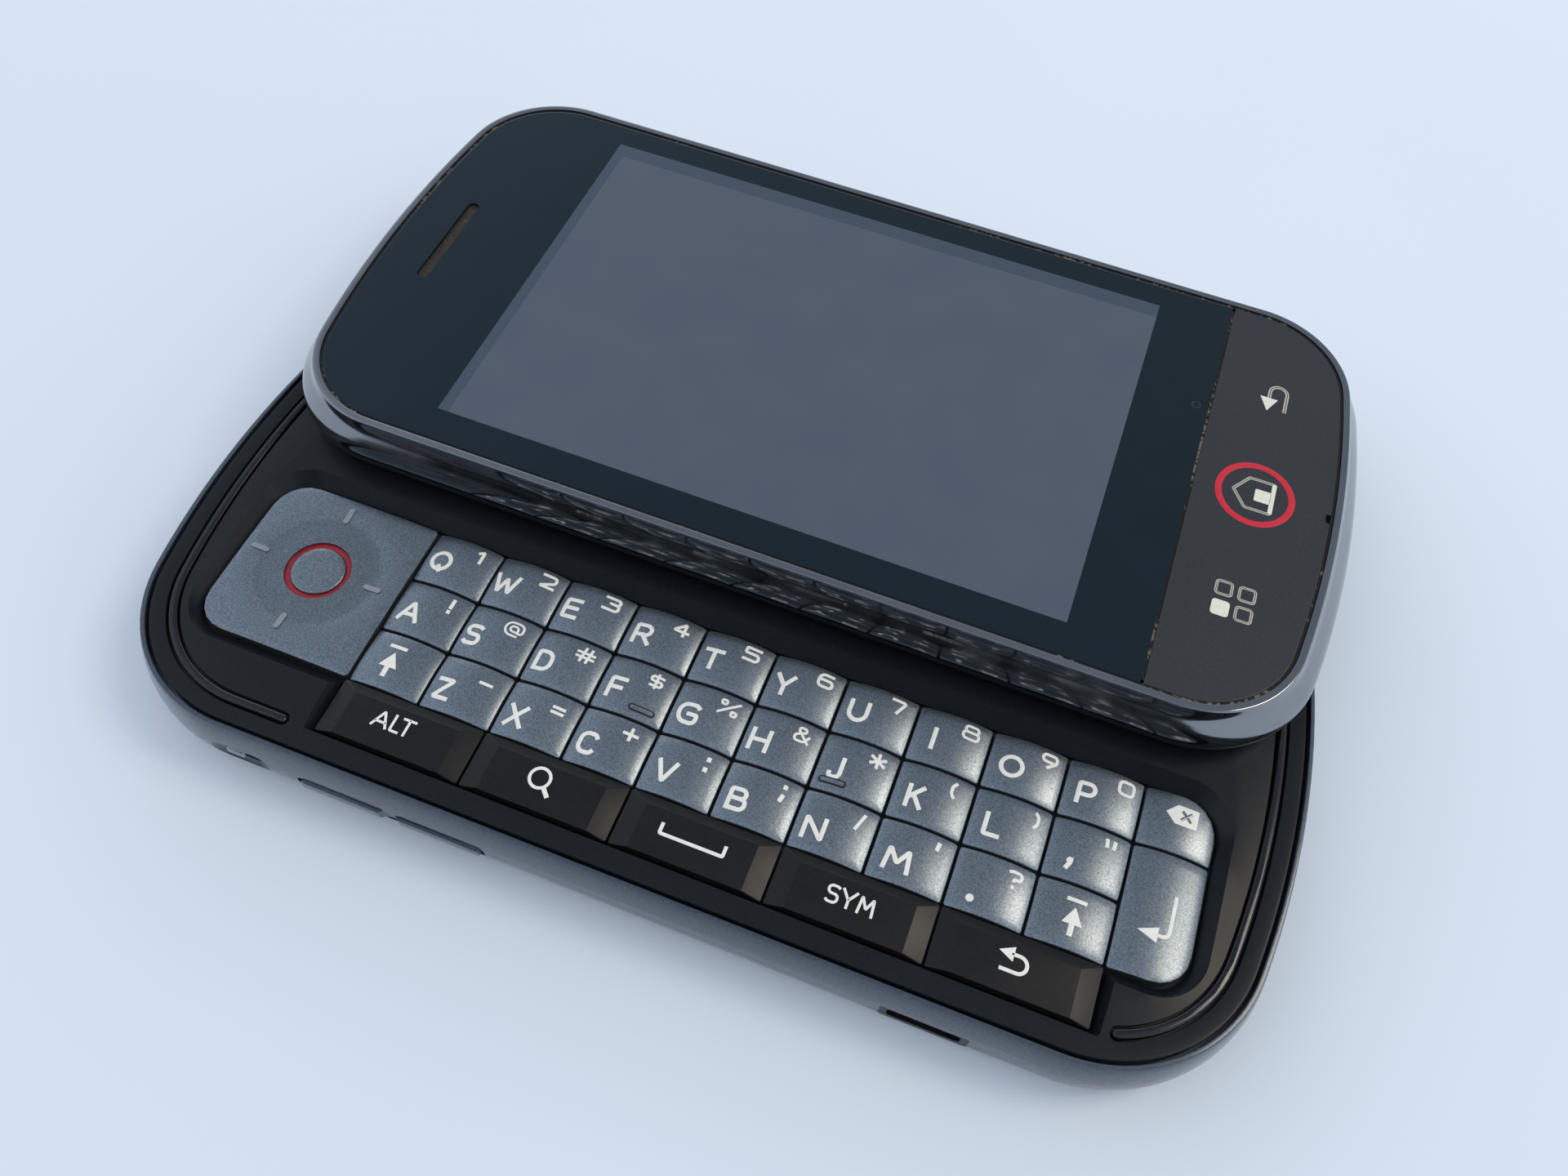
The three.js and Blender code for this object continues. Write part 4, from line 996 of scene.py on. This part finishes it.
# %% Legends of the letter keys
MAIN_WIDTH, SIGN_WIDTH = 0.42, 0.31
OWN_WIDTHS = {":": 0.42, ";": 0.4, '"': 0.36, "'": 0.38, "!": 0.36}
OWN_WIDTHS |= {"%": 0.25, "&": 0.26, "@": 0.23, "#": 0.27, "$": 0.27, "8": 0.28}
ROW_LINES = [
    (-5.7, -3.35, -3.5, -1.87),
    (-11.95, -9.6, -9.7, -8.03),
    (-18.2, -15.85, -15.85, -14.1),
]
LEGENDS = [
    "q Q -31.05 -28.7 1 -26.85 -26.15|w W -24.1 -21.4 2 -19.8 -18.1|"
    "e E -16.45 -14.65 3 -12.9 -11.1|"
    "r R -8.9 -6.9 4 -5.4 -3.7|t T -1.6 .4 5 2 3.7|y Y 5.8 7.8 6 9.6 11.3|u U 13.3 15.4 7 17 18.6|"
    "i I 21.65 22.05 8 24.2 26|o O 28.3 30.7 9 31.9 33.6|p P 35.75 37.6 0 39.3 41",
    "a A -30.9 -28.6 ! -26.6 -26.2|s S -23.9 -22.1 @ -20.55 -18.55|d D -16.4 -14.5 # -12.9 -11|"
    "f F -8.75 -7 $ -5.25 -3.8|g G -1.6 .6 % 1.9 3.9|"
    "h H 5.7 7.75 & 9.5 11.1|j J 13.6 15 * 16.9 18.6|"
    "k K 21.1 22.8 ( 24.8 25.4|l L 28.5 30.2 ) 32.8 33.4|comma , 36.3 37.1 \" 39.4 40.5",
    "z Z -23.7 -21.9 - -19.95 -18.6|x X -16.2 -14.25 = -12.45 -11.15|c C -8.9 -7 + -5.3 -3.75|"
    "v V -1.2 .9 : 2.95 3.3|b B 6 8 ; 10.3 11|n N 13.3 15.45 / 17.7 18.5|m M 21 23.6 ' 25.1 25.65|"
    "period . 28.95 29.6 ? 31.95 33.35",
]
OWN_HEIGHTS = {
    ",": (-12.25, -11.05), '"': (-9, -8.1), "'": (-15, -14.15),
    "-": (-15.4, -15), "=": (-15.6, -14.7), "+": (-15.55, -14.15), "*": (-9.55, -7.95),
}
DOTS = {".": [circle(0.36, 29.27, -18, 16)], ",": [circle(0.3, 36.75, -11.4, 14)]}
films = {}
for (low, high, sign_low, sign_high), row in zip(ROW_LINES, LEGENDS):
    for entry in row.split("|"):
        name, letter, x0, x1, sign, s0, s1 = entry.split()
        main = OWN_HEIGHTS.get(letter, (low, high))
        small = OWN_HEIGHTS.get(sign, (sign_low, sign_high))
        width = OWN_WIDTHS.get(sign, SIGN_WIDTH)
        strokes = glyph_strokes(sign, float(s0), float(s1), *small, width)
        if letter in GLYPHS:
            strokes += glyph_strokes(letter, float(x0), float(x1), *main, MAIN_WIDTH)
        films[name] = ink(strokes, DOTS.get(letter, []), surfaces[name])
print("letter legends:", len(films))

# %% [markdown]
# The other keys carry generic signs: shift arrows, a delete tag with a cross, a return arrow, the
# words ALT and SYM, a magnifier, a space bracket and a back arrow.

# %% Signs of the other keys
CROSS_WIDTH, WORD_WIDTH, SIGN_LINE = 0.26, 0.25, 0.33


def line(points, width, closed=False):
    """A stroke; a point without a radius is a sharp corner."""
    return [(*point, 0)[:3] for point in points], closed, width


def arrow_head(tip, base_centre, half):
    """A filled triangle from the middle of its base to its tip."""
    (tx, ty), (bx, by) = tip, base_centre
    length = math.hypot(tx - bx, ty - by)
    nx, ny = (by - ty) / length * half, (tx - bx) / length * half
    return [(tx, ty), (bx + nx, by + ny), (bx - nx, by - ny)]


def arc(cx, cy, radius, start, end, steps=12):
    """Points of an arc in degrees."""
    turns = [math.radians(start + (end - start) * i / steps) for i in range(steps + 1)]
    return [(cx + radius * math.cos(t), cy + radius * math.sin(t)) for t in turns]


def word(letters, y0, y1):
    """Strokes of a short word, each letter with its own start and end."""
    strokes = []
    for letter, left, right in letters:
        strokes += glyph_strokes(letter, left, right, y0, y1, WORD_WIDTH)
    return strokes


alt = [("A", -27, -25.35), ("L", -25.15, -24.15), ("T", -24.3, -22.95)]
symbol = [("S", 17.4, 18.6), ("Y", 18.7, 20.15), ("M", 20.3, 21.85)]
hook = line([(46.5, -11.2), (46.5, -15.2, 0.6), (45.2, -15.2)], 0.34)
lens_ring = line(circle(0.97, -10.2, -22, 20), 0.3, closed=True)
handle = line([(-9.5, -22.75), (-8.8, -23.5)], 0.42)
bracket = line([(1.8, -21.75), (1.8, -22.76), (7.83, -22.76), (7.83, -21.75)], SIGN_LINE)
curl = line([(34, -21.55), *arc(34.75, -22.3, 0.75, 90, -90), (33.2, -23.05)], SIGN_LINE)
tag = [(44, -3.45), (44.95, -4.44), (46.97, -4.44), (46.97, -2.5), (44.95, -2.5)]
SIGNS = {
    "delete": ([], [tag]),
    "return": ([hook], [arrow_head((43.75, -15.2), (45.55, -15.2), 0.72)]),
    "alt": (word(alt, -23, -21.25), []),
    "symbol": (word(symbol, -23.15, -21.4), []),
    "search": ([lens_ring, handle], []),
    "space": ([bracket], []),
    "back": ([curl], [arrow_head((32.85, -21.55), (34.2, -21.55), 0.66)]),
}
for name, cx in (("shift_left", -28.7), ("shift_right", 38.26)):
    bar = line([(cx - 0.9, -14.8), (cx + 0.9, -14.8)], 0.36)
    stem = line([(cx, -16.9), (cx, -18.1)], 0.5)
    SIGNS[name] = ([bar, stem], [arrow_head((cx, -15.45), (cx, -17.05), 0.92)])
for name, (strokes, shapes) in SIGNS.items():
    films[name] = ink(strokes, shapes, surfaces[name])
ends = ((-3.9, -3), (-3, -3.9))
cross = [line([(45.45, y0), (46.35, y1)], CROSS_WIDTH) for y0, y1 in ends]
films["delete"] = join(films["delete"], ink(cross, [], surfaces["delete"], keycap, lift=0.06))
print("other signs:", sorted(SIGNS))

# %% [markdown]
# The F and J keys have a raised bar to feel for, with a dark line round it, and the pad has four
# raised marks. They are small lozenges that follow the surface as the ink does.

# %% Raised marks, and settling the keys
line_paint = grained(
    "black_edge_line", ("#0c0c0e", "#151517"), grain=0.3, roughness=(0.45, 0.55)
)
pale_mark = grained(
    "raised_silver_mark", ("#848c96", "#9aa1a9"), grain=0.2, roughness=(0.3, 0.4), Metallic=0.4
)
FACET_ANGLE, BAR_LIFT, MARK_LIFT = 9, 0.06, 0.08
PAD_MARKS = [(-41, -3.3, 0.55, 1.86), (-40.7, -16.45, 0.55, 1.86)]
PAD_MARKS += [(-47.1, -9.9, 1.86, 0.55), (-34.5, -10, 1.86, 0.55)]


def lozenge(cx, cy, length, height):
    """A bar with round ends."""
    x, y = length / 2, height / 2
    return rounded_box(cx - x, cx + x, cy - y, cy + y, min(x, y) - 0.001)


for name, cx in (("f", -4.66), ("j", 14.4)):
    rim = ink([], [lozenge(cx, -12.18, 2.66, 0.68)], surfaces[name], line_paint)
    bar = ink([], [lozenge(cx, -12.18, 2.34, 0.38)], surfaces[name], keycap, lift=BAR_LIFT)
    films[name] = join(films[name], rim, bar)
marks = [ink([], [lozenge(*mark)], pad_surface, pale_mark, lift=MARK_LIFT) for mark in PAD_MARKS]
films["pad"] = join(*marks)

for name, cap in caps.items():
    if name in films:
        cap = join(cap, films[name])
    node = "direction_pad" if name == "pad" else f"key_{name}"
    is_bar = name in bar_names
    settle(cap, node, None, [node], angle=FACET_ANGLE if is_bar else SMOOTH_ANGLE)
print("keys settled:", len(caps))

# %% [markdown]
# ## Display ring
# The ring round the display is ABS with smoked chrome plating: a dark mirror that shows the pale
# room at the ends and the black keyboard along its front. Its side bulges out from the foot and
# leans back in to a flat lip. The bulge has to be smooth, because a mirror shows every step, so a
# curve is run through the CAD's heights and widths and the ring is stacked through it.

# %% Ring profile and plating
smoked_chrome, tree, surface, place = blank("smoked_chrome_plating")
haze = noise(tree, place, 7, 5)
links = {"Base Color": mix(tree, haze, ("#82858a", "#94979b"))}
feed(tree, surface, links | {"Roughness": remap(tree, haze, 0.35, 0.7, (0.05, 0.15))})
surface.inputs["Metallic"].default_value = 1

RING_BOTTOM, RING_TOP, LIP, RING_GAP = 9.3, 15.6, 0.75, 0.3
RING_SIDE = [(0.25, 0), (0.6, 0.08), (0.92, 0.19), (1, 0.35), (0.82, 0.51), (0.5, 0.67)]
RING_SIDE += [(0.18, 0.825), (0, 0.985)]
LIP_EDGE = [(LIP - 0.03, 0.04), (LIP - 0.08, 0.01), (LIP - 0.14, 0)]
LIP_EDGE += [(0.08, 0), (0.02, 0.02), (0, 0.08)]
BETWEEN = 4


def smooth_through(points, steps):
    """A Catmull-Rom curve through points, which keeps all of them."""
    ends = [points[0], *points, points[-1]]
    made = [points[0]]
    for i in range(len(points) - 1):
        a, b, c, d = (Vector(p) for p in ends[i : i + 4])
        for s in range(1, steps + 1):
            t = s / steps
            bend = 2 * b + (c - a) * t + (2 * a - 5 * b + 4 * c - d) * t * t
            made.append(tuple((bend + (3 * b - a - 3 * c + d) * t**3) / 2))
    return made


widest = phone_outline(DISPLAY, 0, DISPLAY_Y)
lip_outer = phone_outline(GLASS, -RING_GAP - LIP, DISPLAY_Y)
levels = []
for out, up in smooth_through(RING_SIDE, BETWEEN):
    out = min(out, 1)
    points = [(a + (c - a) * out, b + (d - b) * out) for (a, b), (c, d) in zip(lip_outer, widest)]
    levels.append((points, RING_BOTTOM + (RING_TOP - RING_BOTTOM) * up))
lip = [(-RING_GAP - inset, RING_TOP - drop) for inset, drop in LIP_EDGE]
levels += phone_levels(GLASS, lip + [(-RING_GAP, RING_BOTTOM)], DISPLAY_Y)
ring = stack("chrome_ring", levels, ring=True)
settle(ring, "display", smoked_chrome, ["display_ring"], angle=40)

# %% [markdown]
# ## Front glass
# A sheet of hardened glass is bonded over the display. Round the window it is printed black from
# behind, so it reads as a black mirror; in the window the dark display shows through. Real layers
# of clear glass could be modelled, but the bonded stack has no air in it and reflects once, at the
# front. One solid with a glossy face, split into a border, a window and a darker band along the
# window's left and top by bisecting planes, behaves the same from every side. That band is the
# display's black border with painted shade: both lie deeper than the print and show only there.

# %% Glass finishes
def bonded_glass(name, tones, patch):
    """What lies behind the glass, under the glass's one reflection."""
    return grained(
        name, tones, grain=patch / 6, roughness=(0.03, 0.06), bump=0.0, patch=patch, share=1.0,
        IOR=1.5, Specular_Tint=linear("#b8dcf4"),
    )


black_print = bonded_glass("glass_printed_black", ("#10181e", "#151d24"), 30)
dark_display = bonded_glass("glass_over_display", ("#4d5565", "#545c6a"), 40)
# The darker band at the window's left and top: the display's black border plus painted shade of the
# deeper display.
display_border_shade = bonded_glass("glass_over_painted_display_border_shade", ("#404b59", "#45505e"), 40)
glass_edge = bonded_glass("glass_ground_edge", ("#10161a", "#161d21"), 12)

# %% [markdown]
# The glass and the strip of front keys share an outline and meet at a seam, so the same solid is
# stacked twice and each copy loses what lies past the seam. The hole for the earpiece is a long
# slot with round ends, and a small notch in the strip's right edge leads to the microphone.

# %% Glass and key strip
GLASS_BOTTOM, GLASS_TOP = 14.8, 15.5
SEAM, SEAM_HALF = 37.85, 0.15
WINDOW = (-35.56, 29.94, 7.78, 51.78)
# Widths of the band of painted shade and black border at the window's left and top.
SHADED_BAND_LEFT, SHADED_BAND_TOP = 1.15, 1.9
EAR = (-46.2, 12.6, 1.35)
MICROPHONE, MICROPHONE_FLOOR = (51.3, 52.6, 28.95, 30.1), 14.9
BELOW, ABOVE = 14, 16
PRINTED, ACTIVE, SHADED_BAND, SIDE = range(4)


def front_sheet(name):
    """The sheet with a small chamfer, before it is cut at the seam."""
    edge = [(0, GLASS_BOTTOM), (0, GLASS_TOP - 0.08), (0.02, GLASS_TOP - 0.03)]
    edge += [(0.08, GLASS_TOP), (0.16, GLASS_TOP)]
    return stack(name, phone_levels(GLASS, edge, DISPLAY_Y))


def slice_off(piece, x, keep_right):
    """Cuts a piece at x, closes the cut and throws one side away."""
    edit_all(piece)
    bpy.ops.mesh.bisect(
        plane_co=(x * MM, 0, 0),
        plane_no=(1, 0, 0),
        use_fill=True,
        clear_inner=keep_right,
        clear_outer=not keep_right,
    )
    bpy.ops.object.mode_set(mode="OBJECT")


glass = front_sheet("glass_sheet")
slice_off(glass, SEAM - SEAM_HALF, False)
ear_x, ear_y = EAR[2] / 2, EAR[1] / 2
ear_box = (EAR[0] - ear_x, EAR[0] + ear_x, DISPLAY_Y - ear_y, DISPLAY_Y + ear_y)
drill(glass, rounded_box(*ear_box, ear_x - 0.01), BELOW, ABOVE)
inner = (WINDOW[0] + SHADED_BAND_LEFT, WINDOW[1], WINDOW[2], WINDOW[3] - SHADED_BAND_TOP)
lines = [(0, WINDOW[0]), (0, inner[0]), (0, WINDOW[1])]
score(glass, lines + [(1, WINDOW[2]), (1, inner[3]), (1, WINDOW[3])])
for material in (black_print, dark_display, display_border_shade, glass_edge):
    glass.data.materials.append(material)
for face in glass.data.polygons:
    cx, cy, cz = (v / MM for v in face.center)
    if abs(face.normal.z) < 0.9:
        face.material_index = SIDE
    elif cz > GLASS_TOP - 0.01 and WINDOW[0] < cx < WINDOW[1] and WINDOW[2] < cy < WINDOW[3]:
        active = inner[0] < cx < inner[1] and inner[2] < cy < inner[3]
        face.material_index = ACTIVE if active else SHADED_BAND

satin_strip = grained(
    "satin_coated_key_strip", ("#2a2d33", "#33373e"), grain=0.25, roughness=(0.36, 0.44),
    bump=0.08, patch=12, Specular_IOR_Level=0.25,
)
strip = front_sheet("key_strip_sheet")
slice_off(strip, SEAM + SEAM_HALF, True)
drill(strip, rounded_box(*MICROPHONE, 0.25), MICROPHONE_FLOOR, ABOVE)
strip.data.materials.append(satin_strip)
print("glass faces:", len(glass.data.polygons), "strip faces:", len(strip.data.polygons))

# %% [markdown]
# The strip's three signs stand for back, home and menu, and they face its right end. Their lines
# are frosted light guides with a darker core, their filled parts are printed in cream, and only
# home has a ring, in red. The same ink helper draws them on the flat sheet, and also the round
# window of the light sensor in the glass.

# %% Front key signs
red_ink = grained(
    "red_pad_printing_ink", ("#c0122c", "#ca1e38"), grain=0.4, roughness=(0.35, 0.45), bump=0.04
)
cream_ink = grained(
    "cream_pad_printing_ink", ("#d3d6cb", "#e0e2d8"), grain=0.4, roughness=(0.4, 0.5), bump=0.04
)
frosted_line = grained(
    "frosted_light_guide", ("#a0a397", "#b4b7ab"), grain=0.3, roughness=(0.3, 0.4), bump=0.05
)
line_core = grained(
    "shaded_light_guide", ("#4d504b", "#5f625c"), grain=0.3, roughness=(0.3, 0.4), bump=0.05
)
frosted_smoke = grained(
    "smoked_sensor_window", ("#2c343b", "#353d44"), grain=0.3, roughness=(0.2, 0.3), bump=0.02
)
CORE_SHARE = 0.3


def strip_top(px, py):
    """The strip is flat; the ink's middle lies a little below its face."""
    return GLASS_TOP - 0.01


arch = [(45.33, 41.6), *arc(44.43, 44.1, 0.9, 0, 180), (43.53, 42.8)]
house = [(41.95, 29.7), (43.35, 31.65), (45.9, 31.65), (45.9, 27.75), (43.35, 27.75)]
lines = [line(arch, 0.46), line(house, 0.38, closed=True)]
for x0, y0 in ((42.27, 16.45), (44.5, 16.45), (44.5, 14.1)):
    square = rounded_box(x0 + 0.13, x0 + 1.62, y0 + 0.13, y0 + 1.65, 0.3, 4)
    lines.append(line(square, 0.34, closed=True))
cores = [(points, closed, width * CORE_SHARE) for points, closed, width in lines]
head = arrow_head((43.53, 41.27), (43.53, 43.1), 0.93)
door = rounded_box(44.1, 45.7, 28.9, 30.45, 0.15, 3)
wall = rounded_box(45.66, 46.1, 27.75, 31.65, 0.15, 3)
tile = rounded_box(42.27, 44, 14.07, 15.85, 0.35, 4)
home = line(circle(3.7, 44.15, 29.7, 56), 0.78, closed=True)
signs = [
    ink(lines, [], strip_top, frosted_line),
    ink(cores, [], strip_top, line_core, lift=0.015),
    ink([], [head, door, wall, tile], strip_top, cream_ink, lift=0.02),
    ink([home], [], strip_top, red_ink),
]
sensor = line(circle(0.42, 36.4, 39.1, 20), 0.12, closed=True)
glass = join(glass, ink([sensor], [], strip_top, frosted_smoke))
settle(glass, "display", None, ["front_glass"])
strip = join(strip, *signs)
settle(strip, "key_strip", None, ["key_strip"])

# %% [markdown]
# ## Earpiece mesh, seam and gap
# Behind the slot lies a fine woven mesh, dusty brown after years of use. Threads of 0.2 mm would
# vanish, so the weave is drawn at 0.35 mm. Fine dust also sits in the gap between the glass and the
# ring and along the seam: thin black fills with a beige speckle stand for it. Their black is
# painted shade, the dark depth of the narrow gap and seam; the speckle is the dust.

# %% Earpiece mesh and gap fills
mesh_weave, tree, surface, place = blank("dusty_woven_mesh")
threads = add(tree, "ShaderNodeTexVoronoi", {"Scale": 1000 / 0.35}, {"Vector": place})
weave = threads.outputs["Distance"]
dust = mix(tree, noise(tree, place, 0.8, 3), ("#1f1b18", "#463c32"))
links = {"Base Color": multiplied(tree, 0.8, dust, weave)}
feed(tree, surface, links | {"Normal": relief(tree, weave, 0.6, 0.08)})
surface.inputs["Roughness"].default_value = 0.7

# Black with beige specks: the black is painted shade of the narrow gap and seam, the specks are
# dust.
gap_dust_and_shade, tree, surface, place = blank("dust_on_painted_gap_shade")
patches, specks = noise(tree, place, 9, 2), noise(tree, place, 0.5, 4)
product = add(tree, "ShaderNodeMath", {"operation": "MULTIPLY"}, {0: patches, 1: specks})
mask = remap(tree, product.outputs["Value"], 0.3, 0.38)
feed(tree, surface, {"Base Color": mix(tree, mask, ("#08080a", "#6e6253"))})
surface.inputs["Roughness"].default_value = 0.8

MESH_BOTTOM, MESH_TOP = 14.6, 15.2
FILL_BOTTOM, FILL_TOP, SEAM_TOP = 14.85, 15.42, 15.4
grille = rounded_box(*grown(ear_box, -0.02), ear_x - 0.04, 8)
mesh_plate = plate("ear_mesh", grille, MESH_BOTTOM, MESH_TOP)
settle(mesh_plate, "display", mesh_weave)
outlines = [phone_outline(GLASS, inset, DISPLAY_Y) for inset in (-0.02, -RING_GAP + 0.02)]
gap_fill = square_ring("gap_shade_fill", *outlines, FILL_BOTTOM, FILL_TOP)
settle(gap_fill, "display", gap_dust_and_shade)
seam_y = [DISPLAY_Y - GLASS[1] + 0.4, DISPLAY_Y + GLASS[1] - 0.4]
seam_box = rounded_box(SEAM - SEAM_HALF + 0.01, SEAM + SEAM_HALF - 0.01, *seam_y, 0.05, 2)
seam = plate("seam_shade_fill", seam_box, FILL_BOTTOM, SEAM_TOP)
settle(seam, "display", gap_dust_and_shade)

# %% [markdown]
# ## Back: cover, loudspeaker and camera lens
# The back isn't in the photograph. It has a plain satin cover with slits for the loudspeaker and a
# camera lens behind a small glass. The cover is a stack with a soft edge, and its slits have round
# ends.

# %% Cover, loudspeaker cloth and lens
cover_plastic = grained(
    "satin_graphite_polycarbonate", ("#24262b", "#2e3036"), grain=0.3, roughness=(0.42, 0.54),
    bump=0.16, patch=13,
)
COVER_INSET, COVER_TOP = 4.5, 0.9
SLITS, SLIT_X, SLIT_PITCH, SLIT_LENGTH, SLIT_WIDTH = 5, 38, 1.8, 9, 0.8
RIM_SECTION = [(2.3, 0.25), (2.5, 0.16), (3.3, 0.12), (3.5, 0.2), (3.5, 0.4), (2.3, 0.4)]
LENS_SECTION = [(0.5, 0.2), (1.2, 0.21), (1.9, 0.24), (2.28, 0.3), (2.28, 0.38)]

edge = [(0.16, 0), (0.04, 0.05), (0, 0.16), (0, COVER_TOP)]
cover = stack("cover_plate", phone_levels(BASE, [(COVER_INSET + i, z) for i, z in edge]))
drill(cover, circle(LENS[2] + 0.6, LENS[0], LENS[1]), -1, 2)
for i in range(SLITS):
    x = SLIT_X + (i - 2) * SLIT_PITCH
    slit = (x - SLIT_WIDTH / 2, x + SLIT_WIDTH / 2, -SLIT_LENGTH / 2, SLIT_LENGTH / 2)
    drill(cover, rounded_box(*slit, SLIT_WIDTH / 2 - 0.01), -1, 2)
settle(cover, "base", cover_plastic, ["battery_cover"])

cloth_box = rounded_box(SLIT_X - 5, SLIT_X + 5, -5.2, 5.2, 1)
cloth = plate("speaker_cloth", cloth_box, COVER_TOP, COVER_RECESS)
settle(cloth, "base", mesh_weave)
rim, dome = (
    [(circle(radius, LENS[0], LENS[1]), z) for radius, z in section]
    for section in (RIM_SECTION, LENS_SECTION)
)
settle(stack("lens_rim", rim, ring=True), "base", plated)
lens_glass = bonded_glass("camera_lens_glass", ("#0a0d12", "#10141b"), 4)
settle(stack("lens_glass", dome), "base", lens_glass)

# %% [markdown]
# ## Parts that are kept as the CAD gives them
# The inner parts and the connector have the right shapes already. They only need real finishes:
# stainless steel for the slide and the connector shell, solder mask on glass fibre for the boards,
# shrink film on the battery, and glass-filled nylon for the socket, the camera body and the
# earpiece.

# %% Finishes of the kept parts
stainless = grained(
    "brushed_stainless_steel", ("#85888d", "#9b9ea3"), grain=0.35, roughness=(0.26, 0.4),
    bump=0.08, Metallic=1,
)
solder_mask = grained(
    "green_solder_mask_on_fr4", ("#123a26", "#1b4a32"), grain=0.6, roughness=(0.3, 0.45)
)
shrink_film = grained(
    "battery_shrink_film", ("#26272b", "#303136"), grain=0.8, roughness=(0.3, 0.45)
)
nylon = grained(
    "black_glass_filled_nylon", ("#111113", "#19191c"), grain=0.3, roughness=(0.5, 0.62), bump=0.15
)
panel_back = grained(
    "display_panel_film", ("#454d5b", "#505968"), grain=1.5, roughness=(0.2, 0.35), bump=0.02
)
kept = {
    "slide_guide": stainless,
    "slide_carriage": stainless,
    "usb_port": stainless,
    "keypad_board": solder_mask,
    "main_board": solder_mask,
    "battery": shrink_film,
    "headphone_jack": nylon,
    "camera_module": nylon,
    "earpiece": nylon,
    "display_back": cover_plastic,
    "lcd_panel": panel_back,
}
for name, material in kept.items():
    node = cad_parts[name]
    node.data.materials.clear()
    node.data.materials.append(material)
print("kept parts:", sorted(kept))

# %% [markdown]
# ## Camera
# The camera's place, turn and lens were solved from the photograph: four corners of the display
# window of known size fix all of them. It stands low over the right front of the phone, close
# enough for a strong perspective.

# %% Camera
camera_data = bpy.data.cameras.new("photo_camera")
camera = bpy.data.objects.new("photo_camera", camera_data)
bpy.context.scene.collection.objects.link(camera)
camera.location = [v * MM for v in (20.6228, -57.1206, 113.2788)]
camera.rotation_euler = [math.radians(v) for v in (31.66071, -3.04227, 20.61962)]
camera_data.lens, camera_data.sensor_width = 28.27686, 36
camera_data.clip_start = 0.005
bpy.context.scene.camera = camera

# %% [markdown]
# ## Floor and light
# The phone lies on a white table by a window, and a wide floor takes its shadow.

# %% Floor
table_top, tree, surface, place = blank("white_laminate_table")
MOTTLE_SCALE, TABLE_SIZE = 1000 / 12, 6
mottle = noise(tree, place, MOTTLE_SCALE, 2)
feed(tree, surface, {"Base Color": mix(tree, mottle, ("#d6e3f5", "#dce8f8"))})
surface.inputs["Roughness"].default_value = 0.7
surface.inputs["Specular IOR Level"].default_value = 0.2
select_only()
bpy.ops.mesh.primitive_plane_add(size=TABLE_SIZE, location=(0, 0, 0))
floor = bpy.context.object
floor.name = "table_top"
floor.data.materials.append(table_top)

# %% [markdown]
# A pale world fills the sky. It is darker straight above and behind the camera, like a room's
# ceiling and the person who takes the picture, so that the glass stays dark and the keys keep their
# shading. The camera, reflections and clear parts see a quieter level of it than the one that
# lights the scene.

# %% World
LIGHTING, SEEN = (1.16, 1.17, 1.19, 1), "#d3e0f0"
world = bpy.data.worlds.new("pale_room")
bpy.context.scene.world = world
world.use_nodes = True
tree = world.node_tree
toward = add(tree, "ShaderNodeTexCoord").outputs["Generated"]
rays = add(tree, "ShaderNodeLightPath").outputs
shown = rays["Is Camera Ray"]
for kind in ("Is Glossy Ray", "Is Transmission Ray"):
    shown = add(tree, "ShaderNodeMath", {"operation": "MAXIMUM"}, {0: shown, 1: rays[kind]})
    shown = shown.outputs["Value"]
settings = {"operation": "SUBTRACT", 0: 1}
unseen = add(tree, "ShaderNodeMath", settings, {1: rays["Is Camera Ray"]}).outputs["Value"]
settings = {"data_type": "RGBA", 6: LIGHTING, 7: linear(SEEN)}
level = add(tree, "ShaderNodeMix", settings, {0: shown}).outputs[2]
PATCHES = {
    "ceiling": dict(toward=(0.1, 0.52, 0.85), start=0.6, full=0.97, tone=(0.32, 0.37, 0.44, 1)),
    "photographer": dict(toward=(0.05, -0.98, 0.2), start=0.6, full=0.9, tone=(0.08, 0.09, 0.1, 1)),
}
for patch in PATCHES.values():
    settings = {"operation": "DOT_PRODUCT", 1: patch["toward"]}
    facing = add(tree, "ShaderNodeVectorMath", settings, {0: toward}).outputs["Value"]
    settings = {"interpolation_type": "SMOOTHSTEP"}
    settings |= {"From Min": patch["start"], "From Max": patch["full"]}
    inside = add(tree, "ShaderNodeMapRange", settings, {"Value": facing}).outputs["Result"]
    weight = add(tree, "ShaderNodeMath", {"operation": "MULTIPLY"}, {0: inside, 1: unseen})
    settings = {"data_type": "RGBA", 7: patch["tone"]}
    links = {0: weight.outputs["Value"], 6: level}
    level = add(tree, "ShaderNodeMix", settings, links).outputs[2]
feed(tree, tree.nodes["Background"], {"Color": level})

# %% [markdown]
# Two soft lamps stand for the window behind the phone and a warmer one at its right, which is what
# glints on the right-hand keys.

# %% Lamps
LAMPS = {
    "window_behind": dict(place=(-0.34, 0.88, 0.31), size=(1.1, 0.42), power=1.5, tone="#fffbfa"),
    "window_right": dict(place=(0.72, 0.32, 1), size=(0.4, 0.46), power=4.2, tone="#fff0d6"),
}
for name, lamp in LAMPS.items():
    data = bpy.data.lights.new(name, "AREA")
    data.shape, (data.size, data.size_y) = "RECTANGLE", lamp["size"]
    data.energy, data.color = lamp["power"], linear(lamp["tone"])[:3]
    light = bpy.data.objects.new(name, data)
    light.location = lamp["place"]
    light.rotation_euler = Vector(lamp["place"]).to_track_quat("Z", "Y").to_euler()
    bpy.context.scene.collection.objects.link(light)
bpy.context.scene.view_settings.view_transform = "Standard"
